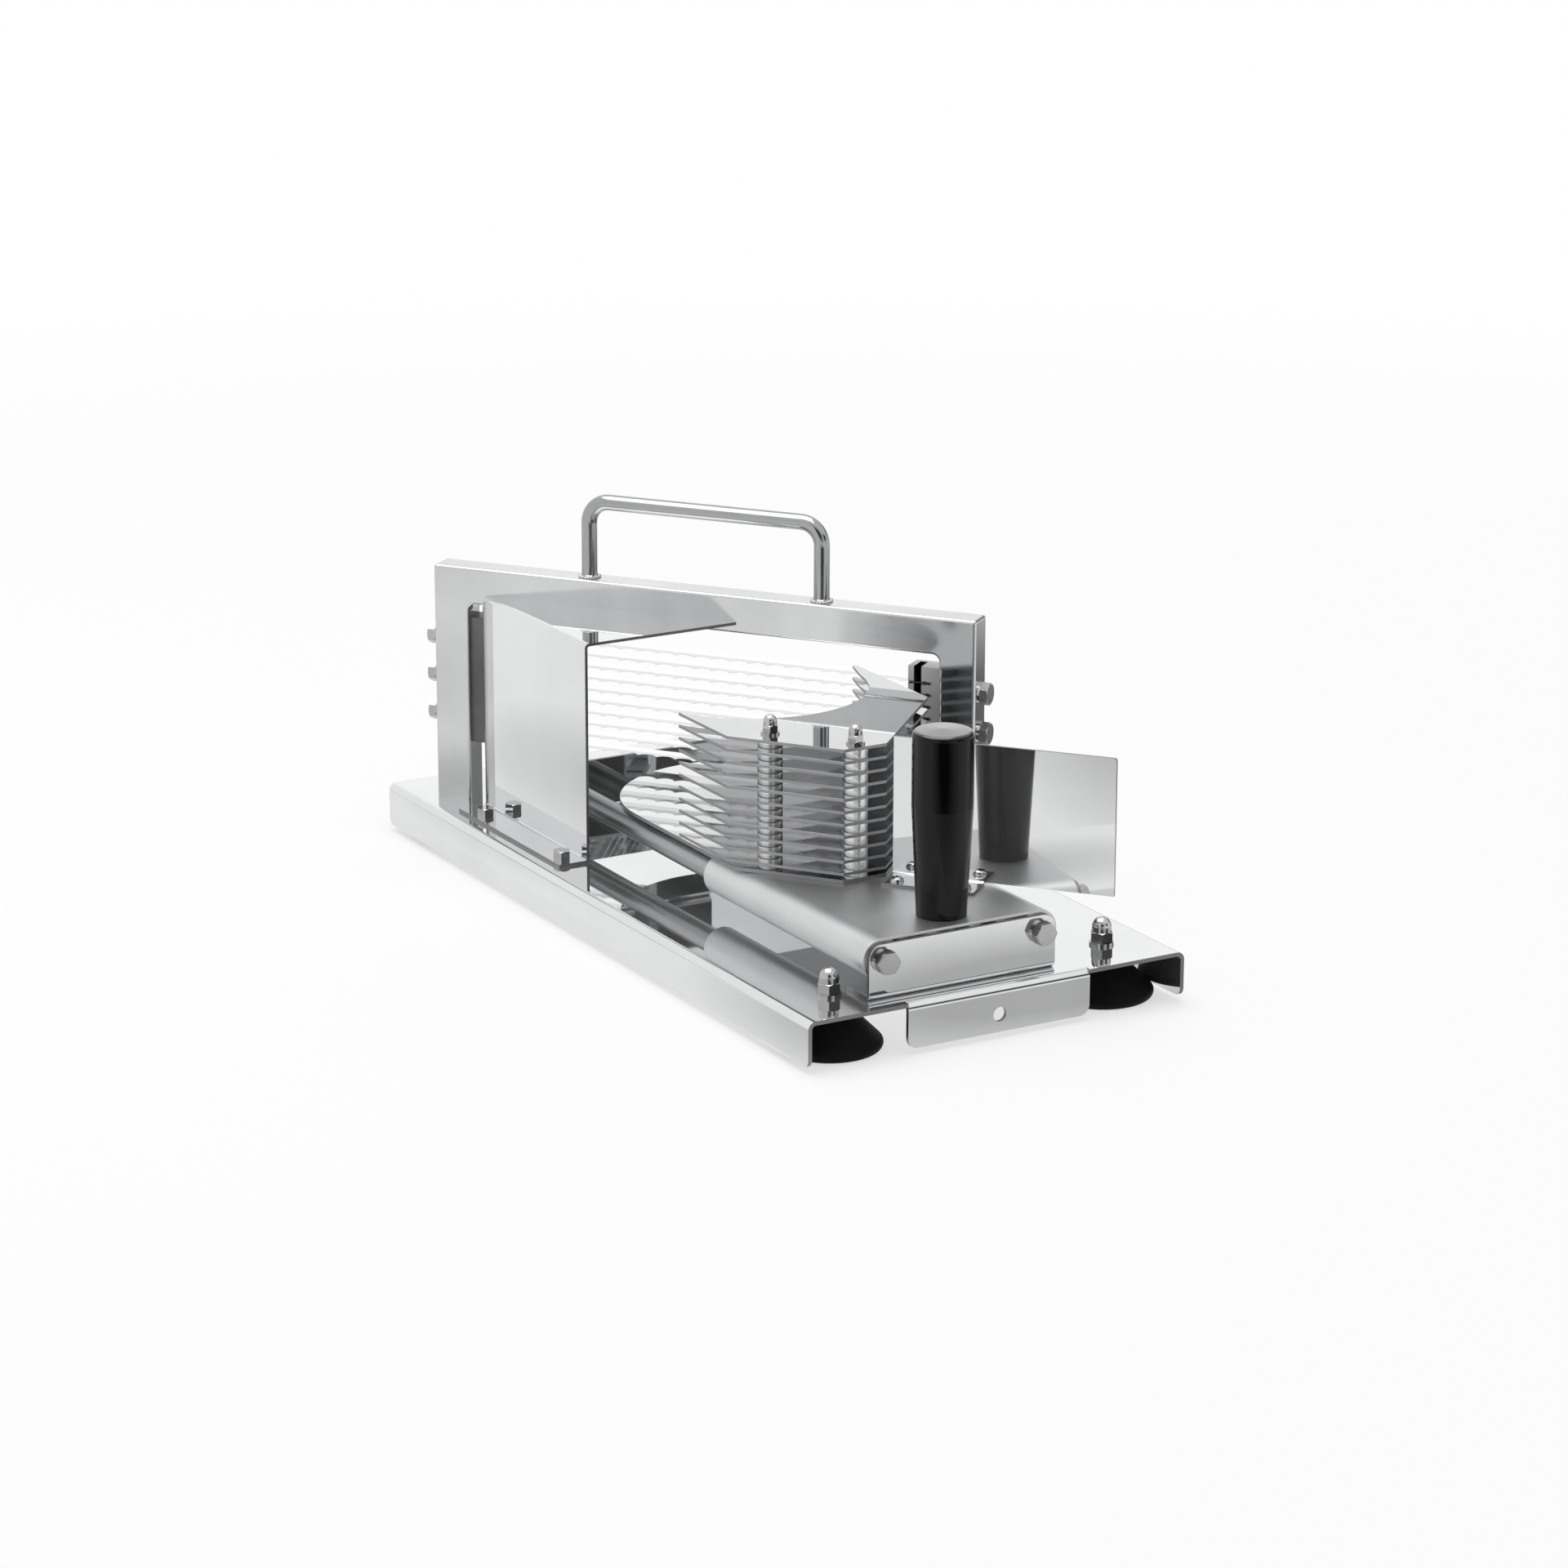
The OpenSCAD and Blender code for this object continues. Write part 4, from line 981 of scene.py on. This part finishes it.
# %% Sizes of the spacers
spacer_low, spacer_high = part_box("stack_spacers")
first_low, first_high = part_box("pusher_plate_01")
plate_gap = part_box("pusher_plate_02")[0][2] - first_high[2]
RING_D = 12 * MM
columns = [Vector((spacer_low[0] + RING_D / 2, spacer_high[1] - RING_D / 2, 0)),
           Vector((spacer_high[0] - RING_D / 2, spacer_low[1] + RING_D / 2, 0))]
spacer_sizes = {
    "Outer Diameter": RING_D, "Bore": 4.4 * MM, "Height": float(plate_gap), "Round": 0.35 * MM,
    "Rings": PLATES - 1, "Pitch": float(plate_gap + PLATE_MM * MM),
    "First Height": float(first_low[2] - spacer_low[2]),
    "To Next Stud": columns[1] - columns[0], "Ring Finish": spacer_steel,
}
print("spacer:", round(plate_gap / MM, 2), "mm high")

# %% [markdown]
# The lowest ring has its own height, because it stands on the bed and not on a plate. So the ring is a
# function of its height, and serves for both kinds.

# %% A spacer ring
RING_STEPS = 64
ROUND_STEPS = 3
tree, size = recipe("spacer stack", spacer_sizes)
wall = reckon(tree, "MULTIPLY", reckon(tree, "SUBTRACT", size["Outer Diameter"], size["Bore"]), 0.5)
mid_radius = reckon(tree, "MULTIPLY", reckon(tree, "ADD", size["Outer Diameter"], size["Bore"]), 0.25)
circle = out_of(tree, "GeometryNodeCurvePrimitiveCircle", {"Resolution": RING_STEPS, "Radius": mid_radius})
upright = out_of(tree, "GeometryNodeSetCurveNormal", {"Curve": circle}, mode="Z_UP")


def ring_of(height):
    """A ring of this height with rounded rims, standing on the ground."""
    section = out_of(tree, "GeometryNodeCurvePrimitiveQuadrilateral", {"Width": wall, "Height": height})
    soft = out_of(tree, "GeometryNodeFilletCurve", {"Curve": section, "Radius": size["Round"],
                                                    "Count": ROUND_STEPS}, mode="POLY")
    swept = out_of(tree, "GeometryNodeCurveToMesh", {"Curve": upright, "Profile Curve": soft})
    lift = point(tree, Z=reckon(tree, "MULTIPLY", height, 0.5))
    return out_of(tree, "GeometryNodeSetPosition", {"Geometry": swept, "Offset": lift})


print("ring:", RING_STEPS, "steps round")

# %% [markdown]
# A plate lies on each ring, so the next ring starts one plate higher. The stack could be set out ring by
# ring; the pitch of the plates does it in one go, and the second stud gets the same stack.

# %% Spacer stack
plate_above = reckon(tree, "SUBTRACT", size["Pitch"], size["Height"])
start = point(tree, Z=reckon(tree, "ADD", size["First Height"], plate_above))
rings = stacked(tree, ring_of(size["Height"]), size["Rings"], size["Pitch"], start)
stack = joined(tree, rings, ring_of(size["First Height"]))
coated = real_and_coated(tree, pair_of(tree, stack, size["To Next Stud"]), size["Ring Finish"])
spacers = bake("spacer_stack", tree, spacer_sizes, coated)
spacers.data.transform(Matrix.Translation(columns[0] + Vector((0, 0, spacer_low[2]))))
settle(spacers, "stack_spacers")
tall = [round(v.co.z, 4) for v in spacers.data.vertices]
print("spacers:", len(spacers.data.polygons), "faces, from", min(tall), "to", max(tall))

# %% [markdown]
# Where the carry handle meets the beam, a welder went round each leg with small dabs of filler. Dabs on a
# circle, each a little different in size, look right from close by; a smooth collar would look cast. The
# seed is fixed, so the same dabs come back every time.

# %% Weld beads at the handle
LEG_D = 8 * MM
LEG_SPAN = 125 * MM
DAB_OUT = 0.75 * MM
DAB_LIFT = 0.4 * MM
DAB_SMALL = (0.85, 0.85, 0.75)
DAB_LARGE = (1.2, 1.2, 1.05)
BEAD_STEPS = 48
DAB_FINENESS = 3
weld_sizes = {
    "Circle Radius": LEG_D / 2 + DAB_OUT, "Dab Radius": 0.95 * MM, "Dabs": 20, "Seed": 7,
    "To Next Leg": ALONG * LEG_SPAN, "Weld Finish": weld_steel,
}
tree, size = recipe("weld dabs", weld_sizes)
circle = out_of(tree, "GeometryNodeCurvePrimitiveCircle", {"Resolution": BEAD_STEPS,
                                                           "Radius": size["Circle Radius"]})
spots = out_of(tree, "GeometryNodeCurveToPoints", {"Curve": circle, "Count": size["Dabs"]}, mode="COUNT")
dab = out_of(tree, "GeometryNodeMeshIcoSphere", {"Radius": size["Dab Radius"], "Subdivisions": DAB_FINENESS})
uneven = out_of(tree, "FunctionNodeRandomValue", {0: DAB_SMALL, 1: DAB_LARGE, "Seed": size["Seed"]},
                data_type="FLOAT_VECTOR")
ring = out_of(tree, "GeometryNodeInstanceOnPoints", {"Points": spots, "Instance": dab, "Scale": uneven})
coated = real_and_coated(tree, pair_of(tree, ring, size["To Next Leg"]), size["Weld Finish"])
welds = bake("handle_welds", tree, weld_sizes, coated)
first_leg = in_frame(FRAME_L / 2 - LEG_SPAN / 2, TUBE_D / 2, FRAME_H + DAB_LIFT)
welds.data.transform(Matrix.Translation(first_leg))
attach(welds, body_of_node["carry_handle"])
print("weld beads:", len(welds.data.polygons), "faces")

# %% [markdown]
# The other solids already have their real shape: lathed cups and grip, drawn rods, bent handle, hexagon
# bolts and domed nuts. Softened copies could stand for them too, but they are small or round already, so a
# finish is enough.

# %% Finishes for the solids that stay as they are
kept = [
    (phenolic, ["grip"]),
    (nylon, ["carriage_bushes"]),
    (handle_steel, ["carry_handle"]),
    (rod_steel, ["left_rod", "right_rod"]),
    (rubber, ["foot_front_left", "foot_front_right", "foot_rear_left", "foot_rear_right"]),
    (bolt_steel, ["foot_studs", "grip_stud", "stack_studs", "blade_pins", "rod_bolts", "tension_bolts"]),
    (nut_steel, ["foot_cap_nuts", "stack_cap_nuts", "foot_washers", "stack_washers", "rod_washers",
                 "tension_washers", "hand_guard_screws", "side_guard_bolts", "side_guard_nuts", "grip_nut"]),
]
for finish, nodes in kept:
    for node in nodes:
        solid = frame["nodes"][node]
        solid.data.materials.clear()
        solid.data.materials.append(finish)
print("finished as they are:", sum(len(nodes) for finish, nodes in kept))
